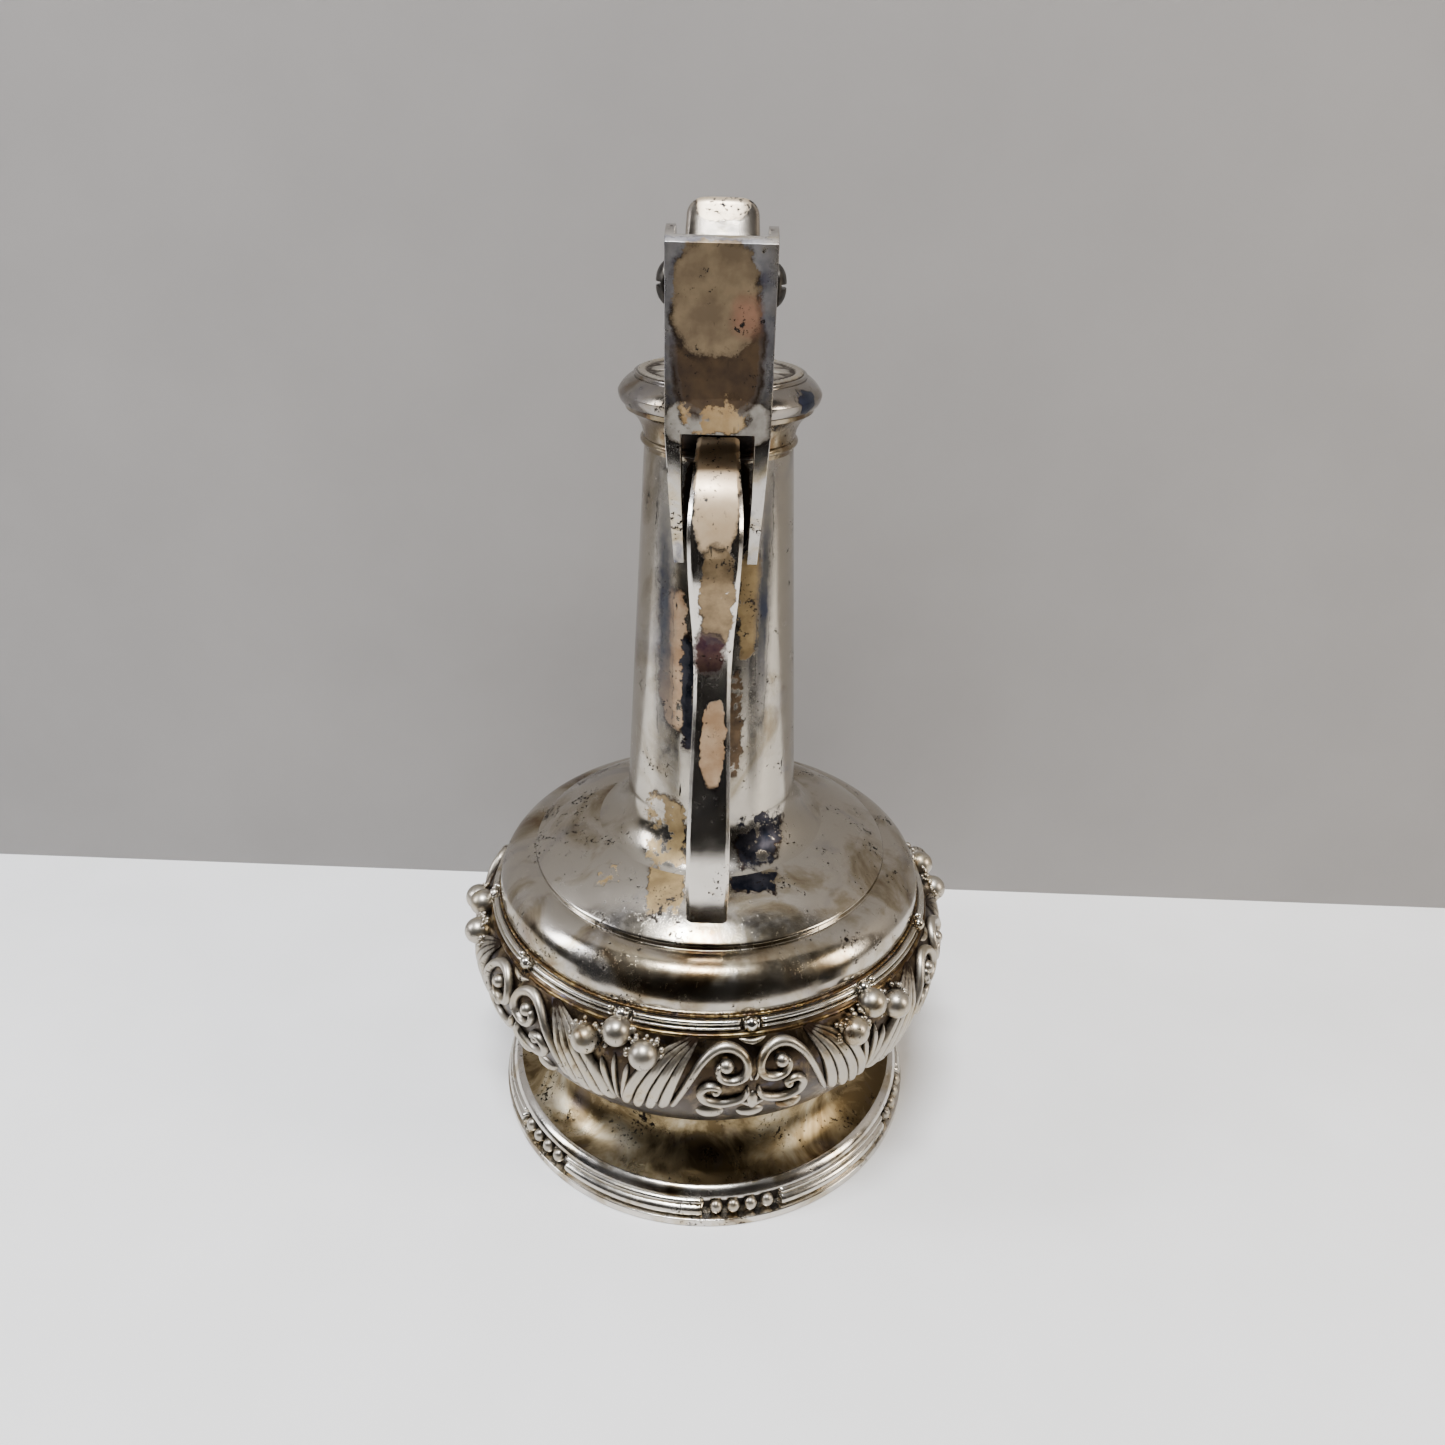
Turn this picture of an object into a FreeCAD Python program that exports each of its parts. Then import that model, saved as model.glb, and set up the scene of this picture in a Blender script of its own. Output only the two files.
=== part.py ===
import FreeCAD, Part
import Sketcher
import math
import os

# Lidded silver ewer. +Z is up, the origin is the centre of the foot's resting face,
# the handle and the hinge bracket stand on the -Y side and the pouring lip on the +Y side.

SIZES = {
    # sheet and wall thicknesses
    "body_sheet": 1.6,
    "neck_sheet": 1.4,
    "lid_sheet": 1.4,
    # foot
    "foot_radius": 60.3,
    "foot_band_height": 2.5,
    "foot_step_height": 8.2,
    "foot_rim_height": 10.5,
    "foot_recess_radius": 57.4,
    "foot_flare_radius": 55.5,
    "foot_rim_bore": 52.5,
    "foot_waist_radius": 44.8,
    "foot_cove_depth": 3.4,
    "foot_reed_radius": 59.7,
    "foot_reed_swell": 0.6,
    "foot_window_angle": 20.0,
    "rim_swell": 0.4,
    "foot_bead_radius": 1.7,
    "foot_bead_pitch": 4.5,
    # bowl
    "bowl_base_height": 25.0,
    "belly_radius": 64.0,
    "belly_height": 58.0,
    "belly_swell": 5.1,
    "bowl_rim_inset": 4.5,
    "bowl_rim_height": 68.0,
    "bowl_rim_swell": 1.2,
    # shoulder
    "shoulder_step_inset": 6.6,
    "shoulder_step_height": 71.0,
    "torus_top_inset": 15.0,
    "torus_top_height": 82.0,
    "torus_swell": 3.0,
    "disc_inset": 16.5,
    "disc_height": 83.4,
    "disc_swell": 1.0,
    # neck and collar
    "neck_foot_radius": 30.0,
    "neck_foot_height": 90.6,
    "neck_cove_height": 102.5,
    "neck_base_radius": 22.0,
    "neck_cove_depth": 2.3,
    "neck_top_radius": 17.2,
    "neck_top_height": 190.5,
    "collar_bead_step": 0.2,
    "collar_bead_start": 0.9,
    "collar_bead_height": 1.7,
    "collar_rim_radius": 21.3,
    "collar_rim_edge": 0.9,
    "collar_height": 9.7,
    "collar_cove_depth": 1.0,
    "collar_bead_swell": 0.7,
    "mouth_radius": 17.2,
    "mouth_depth": 4.2,
    # pouring lip
    "lip_sheet": 1.2,
    "lip_root_radius": 8.0,
    "lip_tip_radius": 4.4,
    "lip_root": 12.0,
    "lip_length": 17.5,
    "lip_slope": 16.0,
    # moulding round the girth
    "upper_wire_swell": 0.5,
    "main_wire_swell": 1.1,
    "lower_wire_radius": 0.8,
    "lower_wire_offset": 1.1,
    "tie_radius": 2.1,
    # lid
    "lid_gap": 0.3,
    "lid_edge_radius": 22.0,
    "lid_rim_radius": 22.9,
    "lid_rim_height": 2.4,
    "lid_plate_radius": 19.3,
    "lid_plate_height": 6.5,
    "lid_plate_groove": 0.4,
    "lid_rim_swell": 0.25,
    "lid_bevel_swell": 0.35,
    "flange_clearance": 2.0,
    "flange_depth": 2.0,
    "flange_seat": 3.0,
    "medallion_thickness": 0.9,
    "medallion_inner_radius": 8.0,
    # hinge bracket
    "pivot_offset": 24.0,
    "pivot_rise": 37.0,
    "bracket_width": 21.4,
    "bracket_back": 31.0,
    "bracket_sheet": 1.8,
    "bracket_bottom_rise": 9.5,
    "ear_height": 7.8,
    "ear_rise": 6.2,
    "ear_front": 10.5,
    "cheek_front": 21.9,
    "cheek_waist_rise": 19.0,
    "cheek_front_cove": 1.4,
    "prong_drop": 22.0,
    "prong_tip_width": 18.6,
    "prong_tip_back": 18.8,
    "prong_root_face": 3.2,
    "prong_tip_face": 2.2,
    # pivot
    "axle_radius": 2.2,
    "running_clearance": 0.05,
    "side_clearance": 0.25,
    "bush_wall": 0.8,
    "knuckle_radius": 4.6,
    "screw_shank_radius": 1.1,
    "screw_shank_length": 6.0,
    "screw_head_radius": 3.9,
    "screw_head_height": 1.9,
    "screw_slot_width": 0.9,
    "screw_slot_depth": 1.0,
    # lever
    "thumb_width": 14.8,
    "thumb_reach": 17.6,
    "thumb_lean": 34.0,
    "thumb_thickness": 3.8,
    "arm_width": 10.0,
    "arm_thickness": 2.0,
    "arm_heel": 18.2,
    "arm_toe": 7.2,
    "arm_rivet_radius": 1.2,
    "arm_rivet_spread": 2.8,
    "arm_rivet_inset": 3.2,
    "rivet_head_height": 0.8,
    # strap handle
    "strap_thickness": 2.0,
    "strap_foot_offset": 40.5,
    # ornament of the belly
    "relief_height": 2.0,
    "relief_top": 66.0,
    "relief_bottom": 41.0,
    "relief_bottom_inset": 2.0,
    "relief_swell": 1.6,
    "berry_radius": 3.6,
    "berry_inset": 0.6,
    "berry_height": 64.6,
    "berry_drop": 2.4,
    "berry_spread": 7.6,
}
MOTIFS = 6
TIES = 12
SCROLL_AZIMUTH = 11.0
CLUSTER_AZIMUTH = SCROLL_AZIMUTH + 180.0 / MOTIFS
X_AXIS = FreeCAD.Vector(1, 0, 0)
Z_AXIS = FreeCAD.Vector(0, 0, 1)

doc = FreeCAD.newDocument("Ewer")
sheet = doc.addObject("Spreadsheet::Sheet", "Sizes")
for row, (alias, number) in enumerate(SIZES.items(), start=1):
    sheet.set("A%d" % row, alias)
    sheet.set("B%d" % row, str(number))
    sheet.setAlias("B%d" % row, alias)
doc.recompute()

subparts = []


def size(name):
    return float(sheet.get(name))


def vec(x, y, z):
    return FreeCAD.Vector(x, y, z)


def terms(text):
    """Sums such as "foot_radius - 2*body_sheet": the sheet expression and its value."""
    expression = []
    total = 0.0
    sign = 1.0
    for token in text.split():
        if token in ("+", "-"):
            sign = 1.0 if token == "+" else -1.0
            expression.append(token)
            continue
        product = 1.0
        factors = []
        for factor in token.split("*"):
            if factor in SIZES:
                product *= size(factor)
                factors.append("Sizes." + factor)
            else:
                product *= float(factor)
                factors.append(factor)
        expression.append(" * ".join(factors))
        total += sign * product
    return " ".join(expression), total


def keep(feature, label):
    feature.Label = label
    subparts.append(feature)
    return feature


def part_feature(label, shape, placement=None):
    feature = doc.addObject("Part::Feature", label)
    feature.Shape = shape
    if placement is not None:
        feature.Placement = placement
    return keep(feature, label)


def round_z(degrees):
    return FreeCAD.Placement(vec(0, 0, 0), FreeCAD.Rotation(Z_AXIS, degrees))


def origin_plane(body, role):
    for feature in body.Origin.OriginFeatures:
        if feature.Role == role:
            return feature
    raise RuntimeError("no plane " + role)


def outline_sketch(body, name, plane, corners):
    """Closed outline. A corner is (x, y) or (x, y, bulge): the side that leaves it is then an
    arc whose rise over its chord is the size named by bulge, to the left of the way it runs
    when the name has no minus sign in front."""
    sketch = body.newObject("Sketcher::SketchObject", name)
    sketch.AttachmentSupport = (origin_plane(body, plane), [""])
    sketch.MapMode = "FlatFace"
    xs = [terms(corner[0]) for corner in corners]
    ys = [terms(corner[1]) for corner in corners]
    points = [vec(x[1], y[1], 0) for x, y in zip(xs, ys)]
    count = len(points)
    start_end = []
    for i in range(count):
        first = points[i]
        last = points[(i + 1) % count]
        bulge = corners[i][2] if len(corners[i]) > 2 else None
        if bulge is None:
            sketch.addGeometry(Part.LineSegment(first, last), False)
            start_end.append((1, 2))
            continue
        leftwards = not bulge.startswith("-")
        rise = terms(bulge.lstrip("-"))[1]
        chord = last.sub(first)
        left = vec(-chord.y, chord.x, 0).normalize()
        middle = first.add(last).multiply(0.5)
        crown = middle.add(left.multiply(rise if leftwards else -rise))
        circle = Part.Arc(first, crown, last).toShape().Curve
        centre = circle.Center
        angles = [math.atan2(p.y - centre.y, p.x - centre.x) for p in (first, last)]
        if leftwards:
            angles.reverse()
        arc = Part.ArcOfCircle(Part.Circle(centre, Z_AXIS, circle.Radius), angles[0], angles[1])
        sketch.addGeometry(arc, False)
        start_end.append((2, 1) if leftwards else (1, 2))
    for i in range(count):
        after = (i + 1) % count
        ends = (i, start_end[i][1], after, start_end[after][0])
        sketch.addConstraint(Sketcher.Constraint("Coincident", *ends))
    for i in range(count):
        for kind, coordinate in (("DistanceX", xs[i]), ("DistanceY", ys[i])):
            datum = sketch.addConstraint(Sketcher.Constraint(kind, -1, 1, i, start_end[i][0], coordinate[1]))
            if coordinate[0].count("Sizes"):
                sketch.setExpression("Constraints[%d]" % datum, coordinate[0])
        if len(corners[i]) > 2:
            dx = "((%s) - (%s))" % (xs[(i + 1) % count][0], xs[i][0])
            dy = "((%s) - (%s))" % (ys[(i + 1) % count][0], ys[i][0])
            rise = terms(corners[i][2].lstrip("-"))[0]
            radius = sketch.Geometry[i].Radius
            datum = sketch.addConstraint(Sketcher.Constraint("Radius", i, radius))
            bow = "(%s * %s + %s * %s) / (8 * %s) + %s / 2" % (dx, dx, dy, dy, rise, rise)
            sketch.setExpression("Constraints[%d]" % datum, bow)
    return sketch


def along_x(start_x, y, z):
    return FreeCAD.Placement(vec(start_x, y, z), FreeCAD.Rotation(Z_AXIS, X_AXIS))


LID_SEAT = "neck_top_height + collar_height + lid_gap"
LID_TOP = LID_SEAT + " + lid_plate_height"
FLANGE = "mouth_radius - flange_clearance"

# Outer outlines of the shells, from the bottom up, shared with what is fitted against them.
BOWL_OUTSIDE = [
    ("foot_waist_radius", "bowl_base_height", "-belly_swell"),
    ("belly_radius", "belly_height", "-bowl_rim_swell"),
    ("belly_radius - bowl_rim_inset", "bowl_rim_height"),
]
SHOULDER_OUTSIDE = [
    ("belly_radius - bowl_rim_inset", "bowl_rim_height"),
    ("belly_radius - shoulder_step_inset", "shoulder_step_height", "-torus_swell"),
    ("belly_radius - torus_top_inset", "torus_top_height"),
    ("belly_radius - disc_inset", "torus_top_height"),
    ("belly_radius - disc_inset", "disc_height", "-disc_swell"),
    ("neck_foot_radius", "neck_foot_height"),
]
NECK_OUTSIDE = [
    ("neck_foot_radius", "neck_foot_height", "neck_cove_depth"),
    ("neck_base_radius", "neck_cove_height"),
    ("neck_top_radius", "neck_top_height"),
]
COLLAR_OUTSIDE = [
    ("neck_top_radius", "neck_top_height"),
    ("neck_top_radius + collar_bead_step", "neck_top_height + collar_bead_start", "-collar_bead_swell"),
    ("neck_top_radius + collar_bead_step", "neck_top_height + collar_bead_start + collar_bead_height",
     "collar_cove_depth"),
    ("collar_rim_radius", "neck_top_height + collar_height - collar_rim_edge"),
    ("collar_rim_radius", "neck_top_height + collar_height"),
]


def turned(label, corners):
    """A body turned about the vertical axis from an outline of (radius, height) corners."""
    body = doc.addObject("PartDesign::Body", label)
    sketch = outline_sketch(body, label + "_outline", "XZ_Plane", corners)
    spin = body.newObject("PartDesign::Revolution", label + "_turning")
    spin.Profile = (sketch, [""])
    spin.ReferenceAxis = (sketch, ["V_Axis"])
    spin.Angle = 360.0
    body.Tip = spin
    return body


def padded(label, plane, length, corners):
    """A body padded evenly both ways from an outline on one of its origin planes."""
    body = doc.addObject("PartDesign::Body", label)
    sketch = outline_sketch(body, label + "_outline", plane, corners)
    pad = body.newObject("PartDesign::Pad", label + "_pad")
    pad.Profile = (sketch, [""])
    pad.Midplane = True
    pad.setExpression("Length", terms(length)[0])
    body.Tip = pad
    return body


def boolean(kind, label, base, tool):
    feature = doc.addObject("Part::" + kind, label)
    feature.Base = base
    feature.Tool = tool
    return feature


def fused(label, shapes):
    feature = doc.addObject("Part::MultiFuse", label)
    feature.Shapes = shapes
    return feature


def cylinder(label, radius, length, place):
    """A cylinder along its placement's Z."""
    feature = doc.addObject("Part::Cylinder", label)
    feature.setExpression("Radius", terms(radius)[0])
    feature.setExpression("Height", terms(length)[0])
    feature.Placement = place
    return feature


def block(label, lengths, centre_x, low_y, low_z):
    """A box of the given lengths, centred across X on centre_x."""
    feature = doc.addObject("Part::Box", label)
    for side, length in zip(("Length", "Width", "Height"), lengths):
        feature.setExpression(side, terms(length)[0])
    feature.Placement.Base = vec(centre_x - 0.5 * terms(lengths[0])[1], low_y, low_z)
    return feature


def sphere(label, radius, centre):
    feature = doc.addObject("Part::Sphere", label)
    feature.setExpression("Radius", terms(radius)[0])
    feature.Placement.Base = centre
    return feature


def at_azimuth(radius, degrees, height):
    """A point at an azimuth counted from -Y towards +X."""
    angle = math.radians(degrees)
    return vec(radius * math.sin(angle), -radius * math.cos(angle), height)


def ring_copies(label, master, count):
    """The master stays as copy 1; the others are turned about the axis and are pieces of their own."""
    keep(master, label + "_1")
    doc.recompute()
    for k in range(1, count):
        place = round_z(k * 360.0 / count).multiply(master.Placement)
        part_feature("%s_%d" % (label, k + 1), master.Shape.copy(), place)


# ---- foot, bowl, shoulder and neck: turned shells soldered edge to edge ----

def build_vessel():
    keep(turned("foot_rim", [
        ("foot_rim_bore", "0"),
        ("foot_radius", "0"),
        ("foot_radius", "foot_band_height"),
        ("foot_recess_radius", "foot_band_height"),
        ("foot_recess_radius", "foot_step_height"),
        ("foot_recess_radius + foot_reed_swell", "foot_step_height", "-rim_swell"),
        ("foot_flare_radius", "foot_rim_height"),
        ("foot_rim_bore", "foot_rim_height"),
    ]), "foot_rim")
    keep(turned("foot_flare", [
        ("foot_flare_radius", "foot_rim_height", "foot_cove_depth"),
        ("foot_waist_radius", "bowl_base_height"),
        ("foot_waist_radius - body_sheet", "bowl_base_height", "-foot_cove_depth"),
        ("foot_flare_radius - body_sheet", "foot_rim_height"),
    ]), "foot_flare")
    keep(turned("bowl", [("0", "bowl_base_height")] + BOWL_OUTSIDE + [
        ("belly_radius - bowl_rim_inset - body_sheet", "bowl_rim_height", "bowl_rim_swell"),
        ("belly_radius - body_sheet", "belly_height", "belly_swell"),
        ("foot_waist_radius - body_sheet", "bowl_base_height + body_sheet"),
        ("0", "bowl_base_height + body_sheet"),
    ]), "bowl")
    keep(turned("shoulder", SHOULDER_OUTSIDE + [
        ("neck_foot_radius", "neck_foot_height - body_sheet", "disc_swell"),
        ("belly_radius - disc_inset - body_sheet", "torus_top_height - body_sheet"),
        ("belly_radius - torus_top_inset - body_sheet", "torus_top_height - body_sheet", "torus_swell"),
        ("belly_radius - shoulder_step_inset - body_sheet", "shoulder_step_height"),
        ("belly_radius - bowl_rim_inset - body_sheet", "bowl_rim_height"),
    ]), "shoulder")
    keep(turned("neck", NECK_OUTSIDE + [
        ("neck_top_radius - neck_sheet", "neck_top_height"),
        ("neck_base_radius - neck_sheet", "neck_cove_height", "-neck_cove_depth"),
        ("neck_foot_radius", "neck_foot_height - body_sheet"),
    ]), "neck")


def build_mouth(envelope):
    """The collar under the lid and the trough-shaped pouring lip let into it."""
    collar = turned("collar_ring", COLLAR_OUTSIDE + [
        ("mouth_radius", "neck_top_height + collar_height"),
        ("mouth_radius", "neck_top_height + collar_height - mouth_depth"),
        ("neck_top_radius - neck_sheet", "neck_top_height"),
    ])
    slope = FreeCAD.Rotation(X_AXIS, size("lip_slope") - 90.0)
    rim = terms("neck_top_height + collar_height")[1]
    rise = math.radians(size("lip_slope"))
    root_z = rim - size("lip_length") * math.sin(rise)
    cones = []
    for label, wall in (("lip_outside", ""), ("lip_inside", " - lip_sheet")):
        cone = doc.addObject("Part::Cone", label)
        cone.setExpression("Radius1", terms("lip_root_radius" + wall)[0])
        cone.setExpression("Radius2", terms("lip_tip_radius" + wall)[0])
        cone.setExpression("Height", terms("lip_length")[0])
        cone.Placement = FreeCAD.Placement(vec(0, size("lip_root"), root_z), slope)
        cones.append(cone)
    above = block("above_rim", ("40", "60", "30"), 0.0, 0.0, rim)
    trough = boolean("Cut", "lip_trough", cones[0], cones[1])
    open_trough = boolean("Cut", "lip_open_trough", trough, above)
    keep(boolean("Cut", "pouring_lip", open_trough, envelope), "pouring_lip")
    keep(boolean("Cut", "neck_collar", collar, cones[1]), "neck_collar")


def ledge(share):
    """A corner on the sloping ledge between the bowl's rim and the shoulder's step."""
    near = 1.0 - share
    return ("belly_radius - %.2f*bowl_rim_inset - %.2f*shoulder_step_inset" % (near, share),
            "%.2f*bowl_rim_height + %.2f*shoulder_step_height" % (near, share))


def build_girth(bowl_fill, shoulder_fill):
    """Three soldered wires, from the top down, and the beads that tie them like ribbons."""
    upper = keep(turned("upper_wire", [ledge(0.8) + ("-upper_wire_swell",), ledge(1.0)]), "upper_wire")
    main_wire = keep(turned("main_wire", [ledge(0.06) + ("-main_wire_swell",), ledge(0.74)]), "main_wire")
    ring = doc.addObject("Part::Torus", "lower_wire_ring")
    ring.setExpression("Radius1", terms("belly_radius - bowl_rim_inset + lower_wire_offset")[0])
    ring.setExpression("Radius2", terms("lower_wire_radius")[0])
    ring.setExpression("Placement.Base.z", terms("bowl_rim_height - lower_wire_offset")[0])
    lower = keep(boolean("Cut", "lower_wire", ring, bowl_fill), "lower_wire")
    rings = [upper, main_wire, lower]
    ties = []
    for k in range(TIES):
        azimuth = SCROLL_AZIMUTH + k * 360.0 / TIES
        rim_radius = terms("belly_radius - bowl_rim_inset")[1]
        centre = at_azimuth(rim_radius + 0.5, azimuth, size("bowl_rim_height") + 1.0)
        ties.append(sphere("tie_bead_%d" % (k + 1), "tie_radius", centre))
    beads = fused("tie_beads", ties)
    for tool in rings + [bowl_fill, shoulder_fill]:
        beads = boolean("Cut", "tie_beads_off_" + tool.Name, beads, tool)
    return rings + [keep(beads, "ribbon_ties")]


def build_foot_ornament(rim):
    """Double reeds between six recessed windows with four beads each."""
    middle = "0.5*foot_band_height + 0.5*foot_step_height"
    reed = turned("foot_reed_arc", [
        ("foot_recess_radius", "foot_band_height"),
        ("foot_reed_radius - foot_reed_swell", "foot_band_height", "-foot_reed_swell"),
        ("foot_reed_radius - foot_reed_swell", middle, "-foot_reed_swell"),
        ("foot_reed_radius - foot_reed_swell", "foot_step_height"),
        ("foot_recess_radius", "foot_step_height"),
    ])
    reed.Tip.Midplane = True
    reed.Tip.setExpression("Angle", "%s - Sizes.foot_window_angle" % (360.0 / MOTIFS))
    reed.Placement = round_z(CLUSTER_AZIMUTH - 90.0)
    ring_copies("foot_reeds", reed, MOTIFS)
    beads = []
    for k in range(4):
        azimuth = SCROLL_AZIMUTH + (k - 1.5) * size("foot_bead_pitch")
        centre = at_azimuth(size("foot_recess_radius") + 0.7, azimuth, terms(middle)[1])
        beads.append(sphere("foot_bead_ball_%d" % (k + 1), "foot_bead_radius", centre))
    row = boolean("Cut", "foot_bead_row", fused("foot_bead_balls", beads), rim)
    ring_copies("foot_beads", row, MOTIFS)


# ---- belly ornament: cast motifs that follow the bowl's surface ----

def radial_prism(label, azimuth, points):
    """A prism that runs out along the radius at the azimuth. Points are (along the girth, height)."""
    wire = Part.makePolygon([vec(x, 0, z) for x, z in points + points[:1]])
    prism = doc.addObject("Part::Feature", label)
    prism.Shape = Part.Face(wire).extrude(vec(0, -size("belly_radius") - 10.0, 0))
    prism.Placement = round_z(azimuth)
    return prism


def radial_ring(label, azimuth, centre, radii):
    """A flat ring whose axis runs out along the radius at the azimuth."""
    reach = size("belly_radius") + 10.0
    base = vec(centre[0], 0, centre[1])
    outer = Part.makeCylinder(radii[0], reach, base, vec(0, -1, 0))
    inner = Part.makeCylinder(radii[1], reach, base, vec(0, -1, 0))
    ring = doc.addObject("Part::Feature", label)
    ring.Shape = outer.cut(inner)
    ring.Placement = round_z(azimuth)
    return ring


def on_belly(label, shapes, zone, bowl_fill):
    """What of the shapes lies between the bowl and the top of the relief."""
    shape = fused(label + "_blank", shapes) if len(shapes) > 1 else shapes[0]
    relief = boolean("Common", label + "_relief", shape, zone)
    return boolean("Cut", label, relief, bowl_fill)


def build_belly_ornament(bowl_fill, girth):
    zone = turned("relief_zone", [
        ("belly_radius - bowl_rim_inset - 10", "relief_bottom"),
        ("belly_radius - relief_bottom_inset", "relief_bottom", "-relief_swell"),
        ("belly_radius + relief_height", "belly_height"),
        ("belly_radius + relief_height - 2.0", "relief_top"),
        ("belly_radius - bowl_rim_inset - 10", "relief_top"),
    ])
    middle = size("belly_height")
    scrolls = []
    for side in (-1, 1):
        name = "scroll_%s_" % ("left" if side < 0 else "right")
        upper = (side * 6.2, middle + 3.3)
        lower = (side * 8.2, middle - 6.0)
        scrolls.append(radial_ring(name + "upper", SCROLL_AZIMUTH, upper, (5.2, 3.4)))
        scrolls.append(radial_ring(name + "lower", SCROLL_AZIMUTH, lower, (4.6, 2.9)))
        stem = [(side * 0.2, middle - 9.0), (side * 1.8, middle - 9.0), (side * 2.2, middle + 2.0),
                (side * 0.2, middle + 2.0)]
        scrolls.append(radial_prism(name + "stem", SCROLL_AZIMUTH, stem))
        scrolls.append(radial_prism(name + "bar", SCROLL_AZIMUTH, [
            (side * 0.2, middle - 9.0), (side * 5.0, middle - 9.0), (side * 5.0, middle - 7.0),
            (side * 0.2, middle - 7.0)]))
    ring_copies("scroll_pair", on_belly("scroll_pair_first", scrolls, zone, bowl_fill), MOTIFS)
    half_pitch = 100.0 / MOTIFS
    leaf = [(-6.0, 7.4), (-4.6, 2.0), (0.0, -11.0), (8.0, -14.5),
            (13.0, -15.5), (9.0, -3.5), (3.4, 0.6), (2.6, 5.0)]
    for side, name in ((-1, "leaf_left"), (1, "leaf_right")):
        points = [(side * x, middle + z) for x, z in leaf]
        prism = radial_prism(name + "_prism", SCROLL_AZIMUTH + side * half_pitch, points)
        ring_copies(name, on_belly(name + "_first", [prism], zone, bowl_fill), MOTIFS)
    balls = []
    spread = math.degrees(size("berry_spread") / size("belly_radius"))
    berries = ((0.0, 0.0), (-spread, size("berry_drop")), (spread, size("berry_drop")))
    for k, (turn, drop) in enumerate(berries, start=1):
        height = size("berry_height") - drop
        centre = at_azimuth(size("belly_radius") - size("berry_inset"), CLUSTER_AZIMUTH + turn, height)
        ball = sphere("berry_ball_%d" % k, "berry_radius", centre)
        # The ball's poles lie along the radius, clear of the seam where it meets the bowl.
        ball.Placement.Rotation = FreeCAD.Rotation(Z_AXIS, vec(centre.x, centre.y, 0))
        balls.append(ball)
    spear = radial_prism("berry_spear", CLUSTER_AZIMUTH, [
        (-2.4, middle + 0.5), (0.0, middle - 14.0), (2.4, middle + 0.5), (0.0, middle + 3.0)])
    spear_relief = on_belly("berry_spear_relief", [spear], zone, bowl_fill)
    seated = [boolean("Cut", "seated_" + ball.Name, ball, bowl_fill) for ball in balls]
    cluster = fused("berry_cluster_first", seated + [spear_relief])
    for tool in girth[1:]:
        cluster = boolean("Cut", "berries_off_" + tool.Name, cluster, tool)
    ring_copies("berry_cluster", cluster, MOTIFS)


# ---- lid: turned cap, locating flange and the relief ring on top ----

def build_lid(rivets):
    cap = turned("lid_disc", [
        (FLANGE, LID_SEAT),
        ("lid_edge_radius", LID_SEAT, "-lid_rim_swell"),
        ("lid_rim_radius", LID_SEAT + " + lid_rim_height", "-lid_bevel_swell"),
        ("lid_plate_radius + lid_plate_groove", LID_TOP + " - 2*lid_plate_groove"),
        ("lid_plate_radius", LID_TOP + " - 2*lid_plate_groove"),
        ("lid_plate_radius", LID_TOP),
        ("0", LID_TOP),
        ("0", LID_TOP + " - lid_sheet"),
        (FLANGE, LID_TOP + " - lid_sheet"),
    ])
    keep(boolean("Cut", "lid_cap", cap, rivets), "lid_cap")
    keep(turned("lid_flange", [
        (FLANGE + " - lid_sheet", LID_SEAT + " - flange_depth"),
        (FLANGE, LID_SEAT + " - flange_depth"),
        (FLANGE, LID_SEAT + " + flange_seat"),
        (FLANGE + " - lid_sheet", LID_SEAT + " + flange_seat"),
    ]), "lid_flange")
    relief = turned("medallion_ring", [
        ("medallion_inner_radius", LID_TOP),
        ("lid_plate_radius - 0.8", LID_TOP),
        ("lid_plate_radius - 1.4", LID_TOP + " + medallion_thickness"),
        ("medallion_inner_radius + 0.6", LID_TOP + " + medallion_thickness"),
    ])
    way = block("medallion_way", ("arm_width + 0.6", "lid_plate_radius", "medallion_thickness"),
                0.0, -size("lid_plate_radius"), terms(LID_TOP)[1])
    keep(boolean("Cut", "lid_medallion", relief, way), "lid_medallion")


def build_rivets():
    """Two rivets through the foot of the arm and the lid's top plate."""
    head = turned("arm_rivet", [
        ("0", LID_TOP + " - lid_sheet"),
        ("arm_rivet_radius", LID_TOP + " - lid_sheet"),
        ("arm_rivet_radius", LID_TOP + " + arm_thickness"),
        ("1.6*arm_rivet_radius", LID_TOP + " + arm_thickness", "-0.3*rivet_head_height"),
        ("0.5*arm_rivet_radius", LID_TOP + " + arm_thickness + rivet_head_height"),
        ("0", LID_TOP + " + arm_thickness + rivet_head_height"),
    ])
    doc.recompute()
    rivets = []
    row_y = -size("arm_toe") - size("arm_rivet_inset")
    for side in (-1, 1):
        rivet = doc.addObject("Part::Feature", "arm_rivet_left" if side < 0 else "arm_rivet_right")
        rivet.Shape = head.Shape.copy()
        rivet.Placement.Base = vec(side * size("arm_rivet_spread"), row_y, 0)
        rivets.append(rivet)
    return keep(fused("arm_rivet_pair", rivets), "arm_rivets")


# ---- lever: knuckle on the axle, thumb-piece above and arm down to the lid ----

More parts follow.
